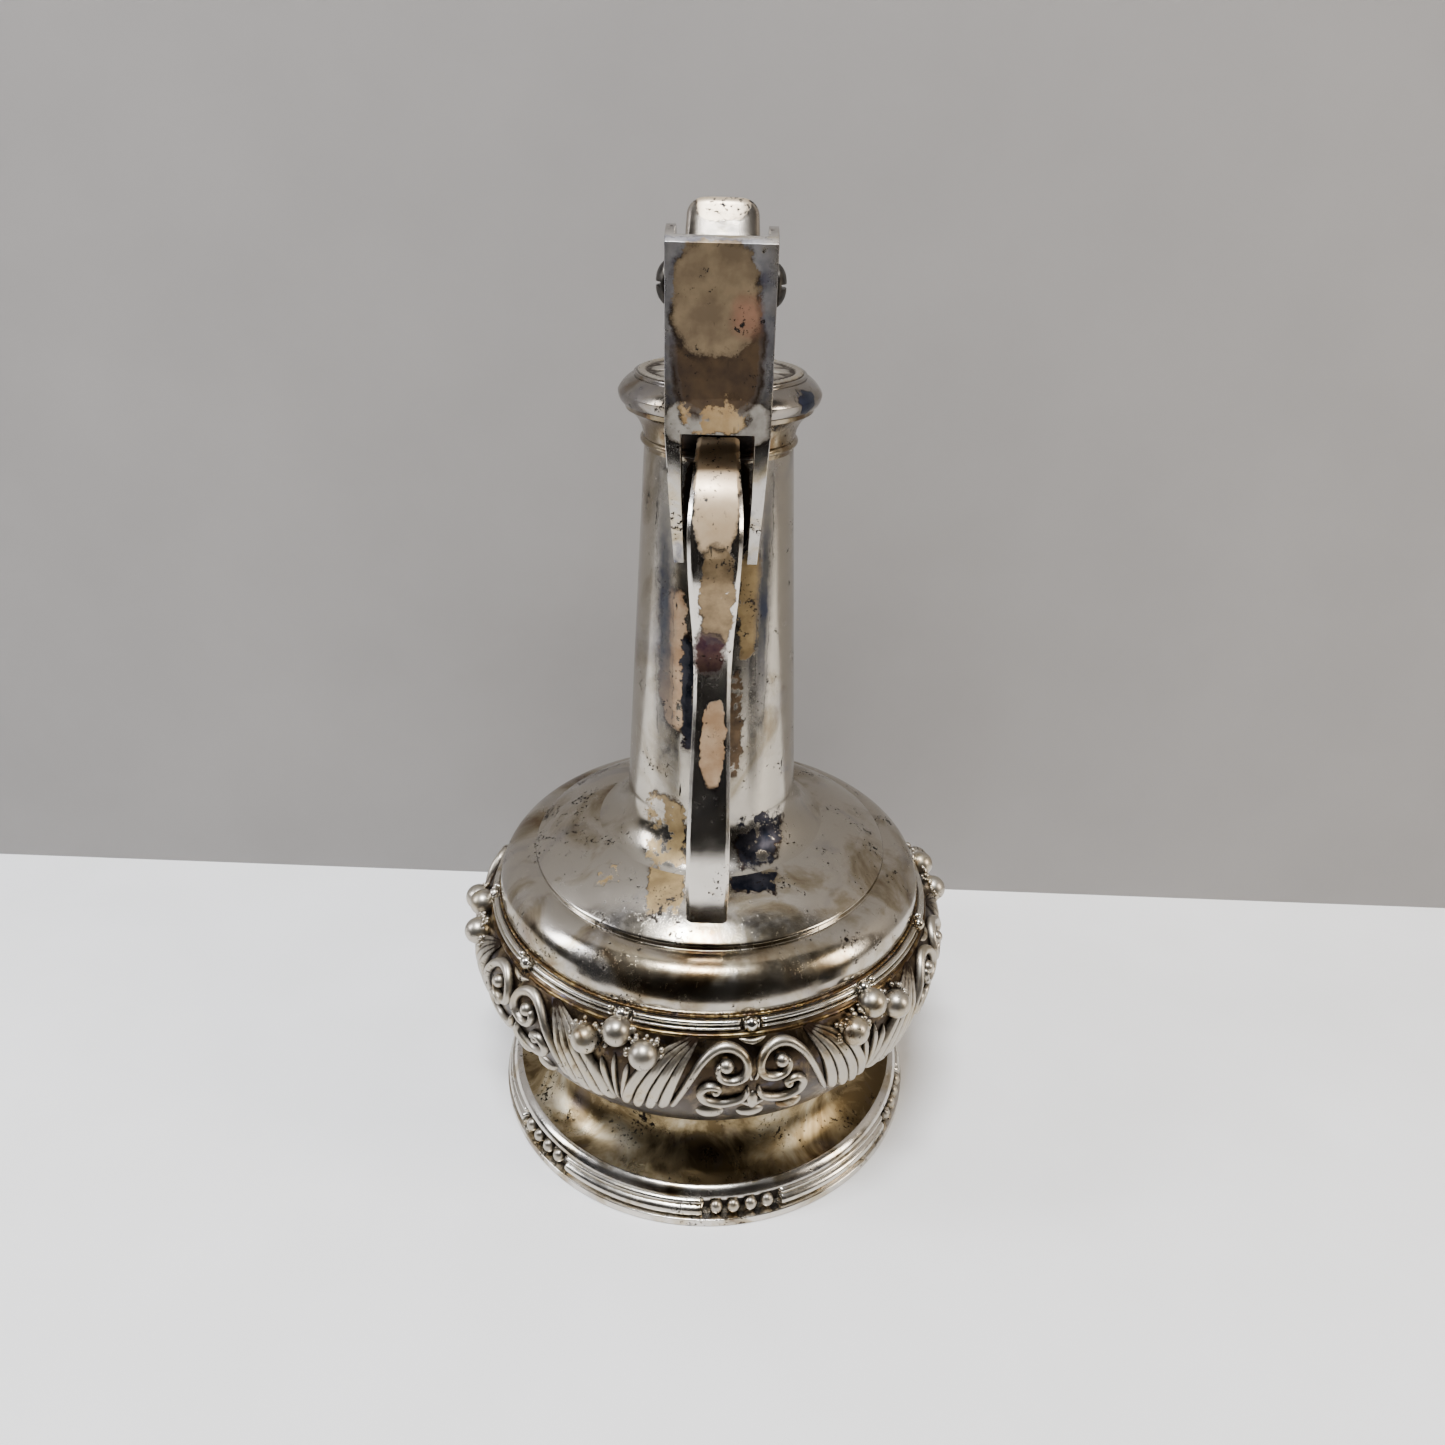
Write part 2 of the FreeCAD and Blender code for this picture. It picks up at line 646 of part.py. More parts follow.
def build_lever(rivets):
    pivot = vec(0, -size("pivot_offset"), terms("neck_top_height + pivot_rise")[1])
    half = 0.5 * size("bracket_width") - size("bracket_sheet") - size("side_clearance")
    length = "bracket_width - 2*bracket_sheet - 2*side_clearance"
    bush_radius = "axle_radius + running_clearance + bush_wall"
    start = along_x(-half, pivot.y, pivot.z)
    barrel = cylinder("knuckle_barrel", "knuckle_radius", length, start)
    bush_blank = cylinder("bush_blank", bush_radius, length, start)
    bush_bore = cylinder("bush_bore", "axle_radius + running_clearance", length, start)
    keep(boolean("Cut", "lever_knuckle", barrel, bush_blank), "lever_knuckle")
    keep(boolean("Cut", "pivot_bush", bush_blank, bush_bore), "pivot_bush")

    blade = padded("thumb_blade", "YZ_Plane", "thumb_width", [
        ("-0.5*thumb_thickness", "0"),
        ("0.5*thumb_thickness", "0"),
        ("0.5*thumb_thickness", "thumb_reach - 0.4*thumb_thickness", "-0.4*thumb_thickness"),
        ("-0.5*thumb_thickness", "thumb_reach - 0.4*thumb_thickness"),
    ])
    front = padded("thumb_front", "XZ_Plane", "4*thumb_thickness", [
        ("-0.5*thumb_width", "0"),
        ("0.5*thumb_width", "0"),
        ("0.5*thumb_width", "thumb_reach - 3.5", "-1.1"),
        ("0.5*thumb_width - 3.5", "thumb_reach"),
        ("-0.5*thumb_width + 3.5", "thumb_reach", "-1.1"),
        ("-0.5*thumb_width", "thumb_reach - 3.5"),
    ])
    root_place = along_x(-0.5 * size("thumb_width"), 0, 0)
    local_barrel = cylinder("thumb_root", "knuckle_radius", "thumb_width", root_place)
    rounded = boolean("Common", "thumb_rounded", blade, front)
    thumb = boolean("Cut", "thumb_piece", rounded, local_barrel)
    thumb.Placement = FreeCAD.Placement(pivot, FreeCAD.Rotation(X_AXIS, -size("thumb_lean")))
    keep(thumb, "thumb_piece")

    arm = padded("arm_strip", "YZ_Plane", "arm_width", [
        ("0 - pivot_offset + 0.8", "neck_top_height + pivot_rise - 3"),
        ("0 - arm_heel", LID_TOP),
        ("0 - arm_toe", LID_TOP),
        ("0 - arm_toe", LID_TOP + " + arm_thickness"),
        ("0 - arm_heel + 1.1*arm_thickness", LID_TOP + " + arm_thickness"),
        ("0 - pivot_offset + 0.8 + 1.3*arm_thickness", "neck_top_height + pivot_rise - 3"),
    ])
    clear_barrel = boolean("Cut", "arm_off_knuckle", arm, barrel)
    keep(boolean("Cut", "lid_arm", clear_barrel, rivets), "lid_arm")


# ---- hinge bracket: one sheet folded to a channel, its cheeks drawn down into two prongs ----

def prong(label, side):
    outer = 0.5 * size("bracket_width")
    tip = 0.5 * size("prong_tip_width")
    top_z = terms("neck_top_height + bracket_bottom_rise")[1]
    tip_z = terms("neck_top_height - prong_drop")[1]
    back = -size("bracket_back")
    front = -size("cheek_front")
    tip_back = -size("prong_tip_back")
    root_face = size("prong_root_face")
    tip_face = size("prong_tip_face")
    middle_x = 0.6 * outer + 0.4 * tip
    middle_z = 0.55 * top_z + 0.45 * tip_z
    wires = []
    for x, face, rear, fore, z in (
        (outer, root_face, back, front, top_z),
        (middle_x, 0.5 * root_face + 0.5 * tip_face, 0.62 * back + 0.38 * tip_back, front + 1.6, middle_z),
        (tip, tip_face, tip_back, tip_back + 4.0, tip_z),
    ):
        corners = [(x - face, rear), (x, rear), (x, fore), (x - face, fore)]
        loop = [vec(side * px, py, z) for px, py in corners]
        wires.append(Part.makePolygon(loop + loop[:1]))
    feature = doc.addObject("Part::Feature", label)
    feature.Shape = Part.makeLoft(wires, True, True)
    return feature


def build_bracket(envelope):
    back = "0 - bracket_back"
    outline = padded("bracket_blank", "YZ_Plane", "bracket_width", [
        (back, "neck_top_height + bracket_bottom_rise"),
        ("0 - cheek_front", "neck_top_height + bracket_bottom_rise"),
        ("0 - cheek_front", "neck_top_height + cheek_waist_rise", "cheek_front_cove"),
        ("0 - pivot_offset + ear_front", "neck_top_height + pivot_rise", "-ear_rise"),
        (back, "neck_top_height + pivot_rise + ear_height"),
    ])
    bottom = terms("neck_top_height + bracket_bottom_rise")[1]
    channel = block("bracket_channel", ("bracket_width - 2*bracket_sheet", "bracket_back", "60"),
                    0.0, -size("bracket_back") + size("bracket_sheet"), bottom - 5.0)
    folded = boolean("Cut", "bracket_folded", outline, channel)
    prongs = [prong("prong_left", -1), prong("prong_right", 1)]
    whole = fused("bracket_with_prongs", [folded] + prongs)
    half = 0.5 * size("bracket_width")
    axle_place = along_x(-half, -size("pivot_offset"), terms("neck_top_height + pivot_rise")[1])
    axle = cylinder("axle_rod", "axle_radius", "bracket_width", axle_place)
    seated = boolean("Cut", "bracket_on_neck", whole, envelope)
    keep(boolean("Cut", "hinge_bracket", seated, axle), "hinge_bracket")
    screws = []
    for side, name in ((-1, "pivot_screw_left"), (1, "pivot_screw_right")):
        blank = turned(name + "_blank", [
            ("0", "0 - screw_shank_length"),
            ("screw_shank_radius", "0 - screw_shank_length"),
            ("screw_shank_radius", "0"),
            ("screw_head_radius", "0"),
            ("screw_head_radius", "0.25*screw_head_height", "-0.3*screw_head_height"),
            ("0", "screw_head_height"),
        ])
        slot = block(name + "_slot", ("screw_slot_width", "3*screw_head_radius", "screw_head_height"), 0.0,
                     -1.5 * size("screw_head_radius"), size("screw_head_height") - size("screw_slot_depth"))
        screw = boolean("Cut", name, blank, slot)
        turn = FreeCAD.Rotation(Z_AXIS, vec(side, 0, 0))
        screw.Placement = FreeCAD.Placement(vec(side * half, axle_place.Base.y, axle_place.Base.z), turn)
        screws.append(keep(screw, name))
    keep(boolean("Cut", "pivot_axle", axle, fused("screw_pair", screws)), "pivot_axle")


# ---- strap handle: a bent strip, waisted in its width, soldered to the shoulder and the collar ----

def build_strap(envelope):
    foot_y = -size("strap_foot_offset")
    top_z = size("neck_top_height")
    foot_z = size("disc_height")
    line = [
        (foot_y, foot_z - 2.0), (foot_y - 2.4, foot_z + 12.0), (foot_y - 1.8, foot_z + 27.0),
        (foot_y + 3.4, foot_z + 43.0), (foot_y + 8.2, foot_z + 57.0), (foot_y + 9.0, foot_z + 68.0),
        (foot_y + 6.2, foot_z + 80.0), (foot_y + 3.8, top_z - 17.0), (foot_y + 5.4, top_z - 7.5),
        (foot_y + 11.5, top_z + 0.2), (foot_y + 23.5, top_z + 5.4),
    ]
    curve = Part.BSplineCurve()
    curve.interpolate([vec(0, y, z) for y, z in line])
    half = 0.5 * size("strap_thickness")
    sides = []
    for offset in (half, -half):
        points = []
        for k in range(41):
            u = curve.FirstParameter + (curve.LastParameter - curve.FirstParameter) * k / 40.0
            along = curve.tangent(u)[0]
            points.append(curve.value(u).add(vec(0, -along.z, along.y).multiply(offset)))
        side = Part.BSplineCurve()
        side.interpolate(points)
        sides.append((side.toShape(), points))
    ends = [Part.makeLine(sides[0][1][k], sides[1][1][k]) for k in (0, -1)]
    wire = Part.Wire(Part.__sortEdges__([sides[0][0], ends[1], sides[1][0], ends[0]]))
    width = 20.0
    band = doc.addObject("Part::Feature", "strap_band")
    band.Shape = Part.Face(wire).extrude(vec(width, 0, 0))
    band.Placement.Base = vec(-0.5 * width, 0, 0)
    halves = [(5.0, foot_z - 6.0), (4.9, foot_z + 4.0), (5.1, foot_z + 16.0), (4.8, foot_z + 34.0),
              (4.2, foot_z + 58.0), (4.5, foot_z + 72.0), (5.3, foot_z + 84.0), (5.8, top_z - 9.0),
              (5.2, top_z - 1.0), (4.0, top_z + 9.0)]
    right = Part.BSplineCurve()
    right.interpolate([vec(x, 0, z) for x, z in halves])
    left = Part.BSplineCurve()
    left.interpolate([vec(-x, 0, z) for x, z in halves])
    bottom = Part.makeLine(vec(-halves[0][0], 0, halves[0][1]), vec(halves[0][0], 0, halves[0][1]))
    top = Part.makeLine(vec(halves[-1][0], 0, halves[-1][1]), vec(-halves[-1][0], 0, halves[-1][1]))
    outline = Part.Face(Part.Wire([bottom, right.toShape(), top, left.toShape().reversed()]))
    front = doc.addObject("Part::Feature", "strap_front")
    front.Shape = outline.extrude(vec(0, -80.0, 0))
    strap = boolean("Common", "strap_blank", band, front)
    keep(boolean("Cut", "handle_strap", strap, envelope), "handle_strap")


def build_fill(label, outside):
    """The space inside an outline, down to the axis, used to fit pieces against its surface."""
    return turned(label, [("0", outside[0][1])] + outside + [("0", outside[-1][1])])


def main():
    bowl_fill = build_fill("bowl_fill", BOWL_OUTSIDE)
    shoulder_fill = build_fill("shoulder_fill", SHOULDER_OUTSIDE)
    envelope = build_fill("vessel_fill", SHOULDER_OUTSIDE[:-1] + NECK_OUTSIDE[:-1] + COLLAR_OUTSIDE)
    build_vessel()
    build_mouth(envelope)
    girth = build_girth(bowl_fill, shoulder_fill)
    build_foot_ornament(subparts[0])
    build_belly_ornament(bowl_fill, girth)
    rivets = build_rivets()
    build_lid(rivets)
    build_lever(rivets)
    build_bracket(envelope)
    build_strap(envelope)
    doc.recompute()
    faults = [o.Name for o in doc.Objects if "Invalid" in o.State or "Error" in o.State]
    for feature in subparts:
        if feature.Shape.isNull() or not feature.Shape.isValid() or not feature.Shape.Solids:
            faults.append(feature.Label)
    if faults:
        raise RuntimeError("failed objects: " + ", ".join(faults))
    os.makedirs("parts", exist_ok=True)
    for feature in subparts:
        feature.Shape.exportStep("parts/%s.step" % feature.Label)
    print(len(subparts), "sub-parts")


main()
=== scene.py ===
import bpy
import bmesh
import math
import random
from mathutils import Matrix, Vector


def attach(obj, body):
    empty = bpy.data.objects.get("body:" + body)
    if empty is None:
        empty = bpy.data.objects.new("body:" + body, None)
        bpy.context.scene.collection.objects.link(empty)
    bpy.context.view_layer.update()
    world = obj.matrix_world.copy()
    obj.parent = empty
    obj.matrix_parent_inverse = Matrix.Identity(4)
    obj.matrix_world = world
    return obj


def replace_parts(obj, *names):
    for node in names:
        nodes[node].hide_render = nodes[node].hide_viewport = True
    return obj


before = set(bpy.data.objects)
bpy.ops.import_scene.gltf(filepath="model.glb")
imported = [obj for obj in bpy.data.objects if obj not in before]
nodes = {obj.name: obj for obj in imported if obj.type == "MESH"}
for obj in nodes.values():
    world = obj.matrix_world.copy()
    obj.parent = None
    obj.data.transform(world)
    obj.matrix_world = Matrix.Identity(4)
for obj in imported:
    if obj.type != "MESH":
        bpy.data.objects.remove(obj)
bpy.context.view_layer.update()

mm = 0.001
print("frame loaded:", len(nodes), "nodes")


# node materials

def hexColour(text):
    # sRGB hex to the linear colour that Blender works in
    parts = [int(text[i:i + 2], 16) / 255 for i in (0, 2, 4)]
    return tuple(p / 12.92 if p <= 0.04045 else ((p + 0.055) / 1.055) ** 2.4 for p in parts) + (1.0,)


def newMaterial(name):
    material = bpy.data.materials.new(name)
    material.use_nodes = True
    material.node_tree.nodes.clear()
    return material


def addNode(tree, kind, settings=None, links=None, ramp=None):
    # one node, its settings (attributes or input values) and what is linked into its inputs
    made = tree.nodes.new("ShaderNode" + kind)
    for key, value in (settings or {}).items():
        if isinstance(key, str) and hasattr(made, key):
            setattr(made, key, value)
        else:
            made.inputs[key].default_value = value
    for key, source in (links or {}).items():
        tree.links.new(source, made.inputs[key])
    if ramp:
        stops = made.color_ramp.elements
        while len(stops) < len(ramp):
            stops.new(0.5)
        for stop, (position, colour) in zip(stops, ramp):
            stop.position = position
            stop.color = hexColour(colour)
    return made


def sumNode(tree, operation, first, second, third=None):
    # arithmetic on two or three values, each a number or another node's output
    parts = dict(enumerate(part for part in (first, second, third) if part is not None))
    numbers = {place: part for place, part in parts.items() if isinstance(part, (int, float))}
    linked = {place: part for place, part in parts.items() if place not in numbers}
    return addNode(tree, "Math", dict(numbers, operation=operation), linked).outputs[0]


def patternNodes(tree, size, detail=4.0, roughness=0.55, stretch=(1, 1, 1), distortion=0.0, shift=(0, 0, 0)):
    # noise whose features are about size millimetres across, fixed to the piece
    place = addNode(tree, "TexCoord")
    mapped = addNode(tree, "Mapping", {"Location": shift, "Scale": stretch},
                     {"Vector": place.outputs["Object"]})
    noise = addNode(tree, "TexNoise", {
        "Scale": 1.0 / (size * mm), "Detail": detail, "Roughness": roughness, "Distortion": distortion,
    }, {"Vector": mapped.outputs[0]})
    return noise.outputs["Fac"]


def blendColour(tree, factor, under, over):
    # over laid on under where factor is 1; a colour may be a hex value or another node's output
    made = addNode(tree, "Mix", {"data_type": "RGBA"}, {0: factor})
    for place, colour in ((6, under), (7, over)):
        if isinstance(colour, str):
            made.inputs[place].default_value = hexColour(colour)
        else:
            tree.links.new(colour, made.inputs[place])
    return made.outputs[2]


def spread(tree, value, low, high, toLow=0.0, toHigh=1.0):
    return addNode(tree, "MapRange", {"From Min": low, "From Max": high, "To Min": toLow,
                                                "To Max": toHigh},
                   {"Value": value}).outputs[0]


def patchField(tree, centre, reach, ragged, grain):
    # 0 at the middle of a rounded box of half sizes reach and 1 at its edge, which wanders by ragged, in mm
    place = addNode(tree, "TexCoord")
    wander = addNode(tree, "TexNoise", {"Scale": 1.0 / (grain * mm), "Detail": 8.0,
                                                  "Roughness": 0.72},
                     {"Vector": place.outputs["Object"]})
    centred = addNode(tree, "VectorMath", {"operation": "MULTIPLY_ADD", 1: (2 * ragged * mm,) * 3,
                                                     2: tuple((-c - ragged) * mm for c in centre)},
                      {0: wander.outputs["Color"]})
    moved = addNode(tree, "VectorMath", {"operation": "ADD"},
                    {0: place.outputs["Object"], 1: centred.outputs[0]})
    scaled = addNode(tree, "VectorMath", {"operation": "DIVIDE", 1: tuple(r * mm for r in reach)},
                     {0: moved.outputs[0]})
    away = addNode(tree, "VectorMath", {"operation": "ABSOLUTE"}, {0: scaled.outputs[0]})
    split = addNode(tree, "SeparateXYZ", links={0: away.outputs[0]})
    wide = sumNode(tree, "MAXIMUM", split.outputs[0], split.outputs[1])
    cubes = [sumNode(tree, "POWER", side, 3.0) for side in (wide, split.outputs[2])]
    return sumNode(tree, "POWER", sumNode(tree, "ADD", *cubes), 1 / 3)


silverLook = {
    "bright": "cbc5bb",     # freshly rubbed silver
    "warm": "ab9f88",       # thin yellow sulphide film
    "brown": "6b583f",      # thicker film
    "blue": "5c6078",       # the film's next colour, blue to purple
    "black": "1c1815",      # oxide in scratches and pits
    "roughness": (0.12, 0.30),
    "filmSize": 26.0,       # mm across one cloud of tarnish
    "film": 0.35,           # share of the surface that the film covers
    "blueFilm": 0.3,
    "pitSize": 1.1,
    "pits": 0.5,
    "scratchSize": 0.5,
    "dentSize": 13.0,
    "relief": None,         # colour of the oxide left in the hollows of raised work
    "patches": [],          # yellowed lacquer left on the metal, and patches of painted shade and painted reflection
}


def silverMaterial(name, **changes):
    # Sterling silver, spun or chased and hand polished: near-white mirror metal, its film of sulphide
    # yellow to brown to blue, blackened pits, and fine rubbing marks that soften the mirror. Old
    # lacquer that is left on it gives peach and brown patches with dark broken edges.
    # Some patches are painted shade and painted reflection: the strap's shadow and dark reflected bands on
    # the neck, the dark slots under the plate, and the strap's darkened bend.
    look = dict(silverLook, **changes)
    material = newMaterial(name)
    tree = material.node_tree
    film = spread(tree, patternNodes(tree, look["filmSize"], 5.0, 0.6, distortion=0.6),
                  0.66 - 0.36 * look["film"], 0.86 - 0.36 * look["film"])
    colour = addNode(tree, "ValToRGB", links={"Fac": film}, ramp=[
        (0.0, look["bright"]), (0.5, look["warm"]), (1.0, look["brown"])]).outputs[0]
    blue = patternNodes(tree, 0.8 * look["filmSize"], 4.0, 0.55, distortion=0.9, shift=(3.1, 1.7, 0.4))
    colour = blendColour(tree, spread(tree, blue, 0.56, 0.72, 0.0, look["blueFilm"]), colour, look["blue"])
    low, high = look["roughness"]
    rough = spread(tree, patternNodes(tree, 7.0, 6.0, 0.7, shift=(0.2, 0.9, 0.3)), 0.3, 0.75, low, high)
    metal = None
    height = sumNode(tree, "MULTIPLY_ADD", patternNodes(tree, look["dentSize"], 1.0, 0.4), 9.0,
                     patternNodes(tree, look["scratchSize"], 2.0, 0.5, stretch=(1, 1, 0.08)))
    for k, patch in enumerate(look["patches"]):
        field = patchField(tree, patch["centre"], patch["reach"], patch["ragged"], patch.get("grain", 3.4))
        soft = patch.get("soft", 0.02)
        inside = spread(tree, field, 1.0 + soft, 1.0 - soft)
        worn = patternNodes(tree, patch.get("grain", 4.0) * 1.6, 6.0, 0.65, shift=(k, 2.0, 1.0))
        cover = sumNode(tree, "MULTIPLY", inside, spread(tree, worn, patch["worn"], patch["worn"] + 0.04))
        tone = patternNodes(tree, 5.0, 4.0, 0.6, shift=(0.4, k, 0.9))
        # each patch's own two tones; on some patches these are painted shade and painted reflection
        film = addNode(tree, "ValToRGB", links={"Fac": tone}, ramp=[
            (0.36, patch["colours"][0]), (0.64, patch["colours"][1])]).outputs[0]
        rim = sumNode(tree, "MULTIPLY", spread(tree, field, 1.10, 1.0), spread(tree, field, 0.90, 1.0))
        edge = sumNode(tree, "MULTIPLY", rim, spread(tree, worn, 0.42, 0.56))
        colour = blendColour(tree, cover, colour, film)
        colour = blendColour(tree, edge, colour, patch.get("edge", "2a1e14"))
        rough = sumNode(tree, "MULTIPLY_ADD", cover, 0.14, rough)
        bare = sumNode(tree, "MULTIPLY_ADD", cover, -patch.get("milky", 0.45), 1.0)
        metal = bare if metal is None else sumNode(tree, "MINIMUM", metal, bare)
        height = sumNode(tree, "MULTIPLY_ADD", cover, 0.8, height)
    pitSum = sumNode(tree, "MULTIPLY", patternNodes(tree, look["pitSize"], 3.0, 0.7, shift=(0.7, 2.2, 1.1)),
                     patternNodes(tree, 9.0, 3.0, 0.5, shift=(1.3, 0.2, 2.6)))
    pitMask = spread(tree, pitSum, 0.41 - 0.07 * look["pits"], 0.45 - 0.07 * look["pits"])
    streak = patternNodes(tree, 1.3, 3.0, 0.6, stretch=(1.0, 1.0, 0.16), shift=(5.0, 1.0, 0.0))
    scratched = patternNodes(tree, 14.0, 2.0, 0.5, shift=(9, 4, 2))
    streakMask = sumNode(tree, "MULTIPLY", spread(tree, streak, 0.66, 0.70),
                         spread(tree, scratched, 0.5, 0.6))
    blackened = sumNode(tree, "MAXIMUM", pitMask, streakMask)
    colour = blendColour(tree, blackened, colour, look["black"])
    rough = sumNode(tree, "MULTIPLY_ADD", blackened, 0.3, rough)
    height = sumNode(tree, "MULTIPLY_ADD", blackened, -1.5, height)
    if look["relief"]:
        polish = addNode(tree, "Attribute", {"attribute_name": "polish"}).outputs["Fac"]
        speckle = patternNodes(tree, 1.6, 5.0, 0.7, shift=(0.3, 0.1, 0.8))
        raised = sumNode(tree, "MULTIPLY_ADD", speckle, 0.7, polish)
        hollow = spread(tree, raised, 0.95, 0.42)
        colour = blendColour(tree, hollow, colour, look["relief"])
        rough = sumNode(tree, "MULTIPLY_ADD", hollow, 0.25, rough)
    bump = addNode(tree, "Bump", {"Strength": 0.4, "Distance": 0.02 * mm},
                   {"Height": height}).outputs[0]
    shader = addNode(tree, "BsdfPrincipled", {"Metallic": 1.0},
                     {"Base Color": colour, "Roughness": rough, "Normal": bump})
    if metal is not None:
        tree.links.new(metal, shader.inputs["Metallic"])
    addNode(tree, "OutputMaterial", links={"Surface": shader.outputs[0]})
    return material


def spot(centre, reach, ragged, colours, worn, **more):
    # one patch, used for old lacquer, stains, painted shade and painted reflection: where and how far in mm,
    # its two tones, and how much of it is broken up (worn off, on lacquer)
    return dict(centre=centre, reach=reach, ragged=ragged, colours=colours, worn=worn, **more)


peach = ("a88664", "c4a684")
tan = ("7d6846", "a0895f")
# painted shade: dark brown tones for the strap's shadow and reflection on the neck
umberShade = ("3d2e1e", "67523a")
# dark blue-grey tones: stains on the shoulder and the neck's foot, and painted shade beside the strap
stainAndShade = ("14171f", "37363c")
spunSilver = silverMaterial("spunSterlingSilver")
rimSilver = silverMaterial("oxidisedSilverRim", film=0.5, filmSize=14.0, pits=0.7, patches=[
    spot((0.0, 0.0, 5.35), (59.4, 59.4, 2.8), 0.25, ("0e0b09", "2a221a"), 0.0, milky=0.0, edge="1a140f"),
])
footSilver = silverMaterial("tarnishedSilverFoot", film=0.85, warm="8a7a5b", brown="54462f",
                            bright="ada288", filmSize=16.0,
                            blueFilm=0.15, pits=0.8, roughness=(0.24, 0.42), dentSize=22.0)
bowlSilver = silverMaterial("oxidisedSilverGround", film=1.0, warm="5d4f3b", brown="32281d",
                            bright="83765c", filmSize=7.0, blueFilm=0.25, pits=1.0, roughness=(0.26, 0.46))
shoulderSilver = silverMaterial("spunSilverShoulder", film=0.5, bright="b3aca0", warm="938873",
                                filmSize=20.0, blueFilm=0.3, pits=1.0, patches=[
    spot((-10.5, -31.0, 91.0), (4.5, 9.5, 8.0), 4.0, tan, 0.36),
    spot((-25.0, -27.0, 90.0), (3.5, 3.0, 6.0), 4.0, tan, 0.48),
    spot((11.0, -28.0, 92.0), (6.0, 6.0, 7.0), 5.5, stainAndShade, 0.46, milky=0.0),
])
neckSilver = silverMaterial("spunSilverNeck", film=0.35, bright="aca598", warm="8c8270", filmSize=24.0,
                            blueFilm=0.35, pits=0.6, patches=[
    spot((-9.3, -18.0, 144.0), (3.4, 9.0, 18.0), 3.6, peach, 0.40),
    # painted shade: the strap's shadow on the neck, left of the strap
    spot((-5.8, -18.0, 136.0), (1.6, 9.0, 15.0), 2.6, stainAndShade, 0.38, milky=0.0),
    spot((8.0, -18.0, 158.0), (2.6, 9.0, 13.0), 2.8, tan, 0.34),
    # painted shade and painted reflection of the strap on the neck, right of the strap
    spot((5.6, -18.0, 128.0), (1.6, 9.0, 14.0), 2.6, umberShade, 0.42),
    spot((-11.0, -21.0, 98.0), (5.0, 9.0, 9.0), 4.5, tan, 0.44),
    spot((12.5, -22.0, 97.0), (6.0, 9.0, 6.0), 4.0, stainAndShade, 0.44, milky=0.0),
    # painted reflection: dark bluish vertical bands down the neck either side of the strap
    spot((-11.6, -12.0, 152.0), (2.1, 9.0, 36.0), 1.2, ("33343a", "4a4743"), 0.1,
         milky=0.0, soft=0.6, edge="4a4743"),
    spot((11.4, -12.0, 158.0), (1.5, 9.0, 32.0), 0.8, ("30333d", "474644"), 0.1,
         milky=0.0, soft=0.6, edge="474644"),
    # painted shade: the deep shadow in the slots either side of the strap under the plate
    spot((0.0, -18.0, 181.0), (7.6, 9.0, 12.0), 1.2, ("0c0a09", "1c1713"), 0.1, milky=0.0),
])
lidSilver = silverMaterial("spunSilverLid", film=0.5, filmSize=14.0, blueFilm=0.4, pits=0.4,
                           bright="8b857d", warm="756c5e", patches=[
    spot((17.5, -10.0, 203.0), (3.4, 5.0, 2.4), 3.0, ("1a2436", "34384a"), 0.40, milky=0.0),
])
chasedSilver = silverMaterial("chasedOxidisedSilver", film=0.45, filmSize=9.0, blueFilm=0.1, pits=0.6,
                              relief="241b14", bright="a9a193", roughness=(0.3, 0.46))
polishedReed = silverMaterial("burnishedSilverReed", film=0.35, filmSize=9.0, blueFilm=0.1, pits=0.5,
                              relief="241b14", bright="c8c2b6", roughness=(0.16, 0.3))
gildedFilm = silverMaterial("yellowedSilverWire", film=1.0, bright="9c8a66", warm="86714a", brown="4e3c26",
                            filmSize=5.0, pits=0.8, relief="20180f", roughness=(0.25, 0.45))
strapSilver = silverMaterial("lacqueredSilverStrap", film=0.3, filmSize=16.0, pits=0.6, patches=[
    spot((0.0, -34.0, 193.0), (4.7, 20.0, 17.0), 1.6, ("b39a78", "c0a888"), 0.20, milky=0.7),
    spot((0.7, -33.0, 167.0), (3.6, 12.0, 12.0), 2.6, ("6f5c42", "9a8361"), 0.28),
    # painted reflection: the strap's bend that faces down and forward, darkened, with a reddish film tone
    spot((-0.8, -33.0, 152.5), (3.4, 12.0, 5.5), 2.6, ("33222a", "56413a"), 0.30, milky=0.0, soft=0.2),
    spot((0.5, -38.0, 132.0), (2.7, 12.0, 9.5), 1.8, peach, 0.24, milky=0.5),
])
bracketSilver = silverMaterial("lacqueredSilverPlate", film=0.45, filmSize=10.0, blueFilm=0.9, pits=0.7,
                               bright="b0aba3", blue="4c5064", patches=[
    spot((0.0, -31.0, 224.0), (11.5, 1.2, 21.0), 1.4, ("55545e", "8d8a88"), 0.3,
         milky=0.4, soft=0.3, edge="6b696c"),
    spot((0.0, -29.0, 202.0), (10.6, 6.0, 5.0), 1.6, ("8d877d", "b5afa4"), 0.24, edge="5a5247", milky=0.55),
    spot((-0.2, -31.0, 214.5), (8.6, 1.5, 11.0), 1.6, ("46372a", "5b4833"), 0.22, edge="3a2c20", soft=0.12),
    spot((-0.9, -31.0, 225.5), (8.2, 1.5, 10.4), 2.8, ("6d5c46", "8a775b"), 0.26),
    spot((5.0, -31.0, 222.5), (2.6, 1.5, 3.4), 1.6, ("7d5c46", "8f6b54"), 0.20, edge="7d5c46", soft=0.4),
    spot((-1.0, -31.0, 204.0), (7.0, 1.5, 3.8), 3.0, ("a38458", "c0a478"), 0.46),
])
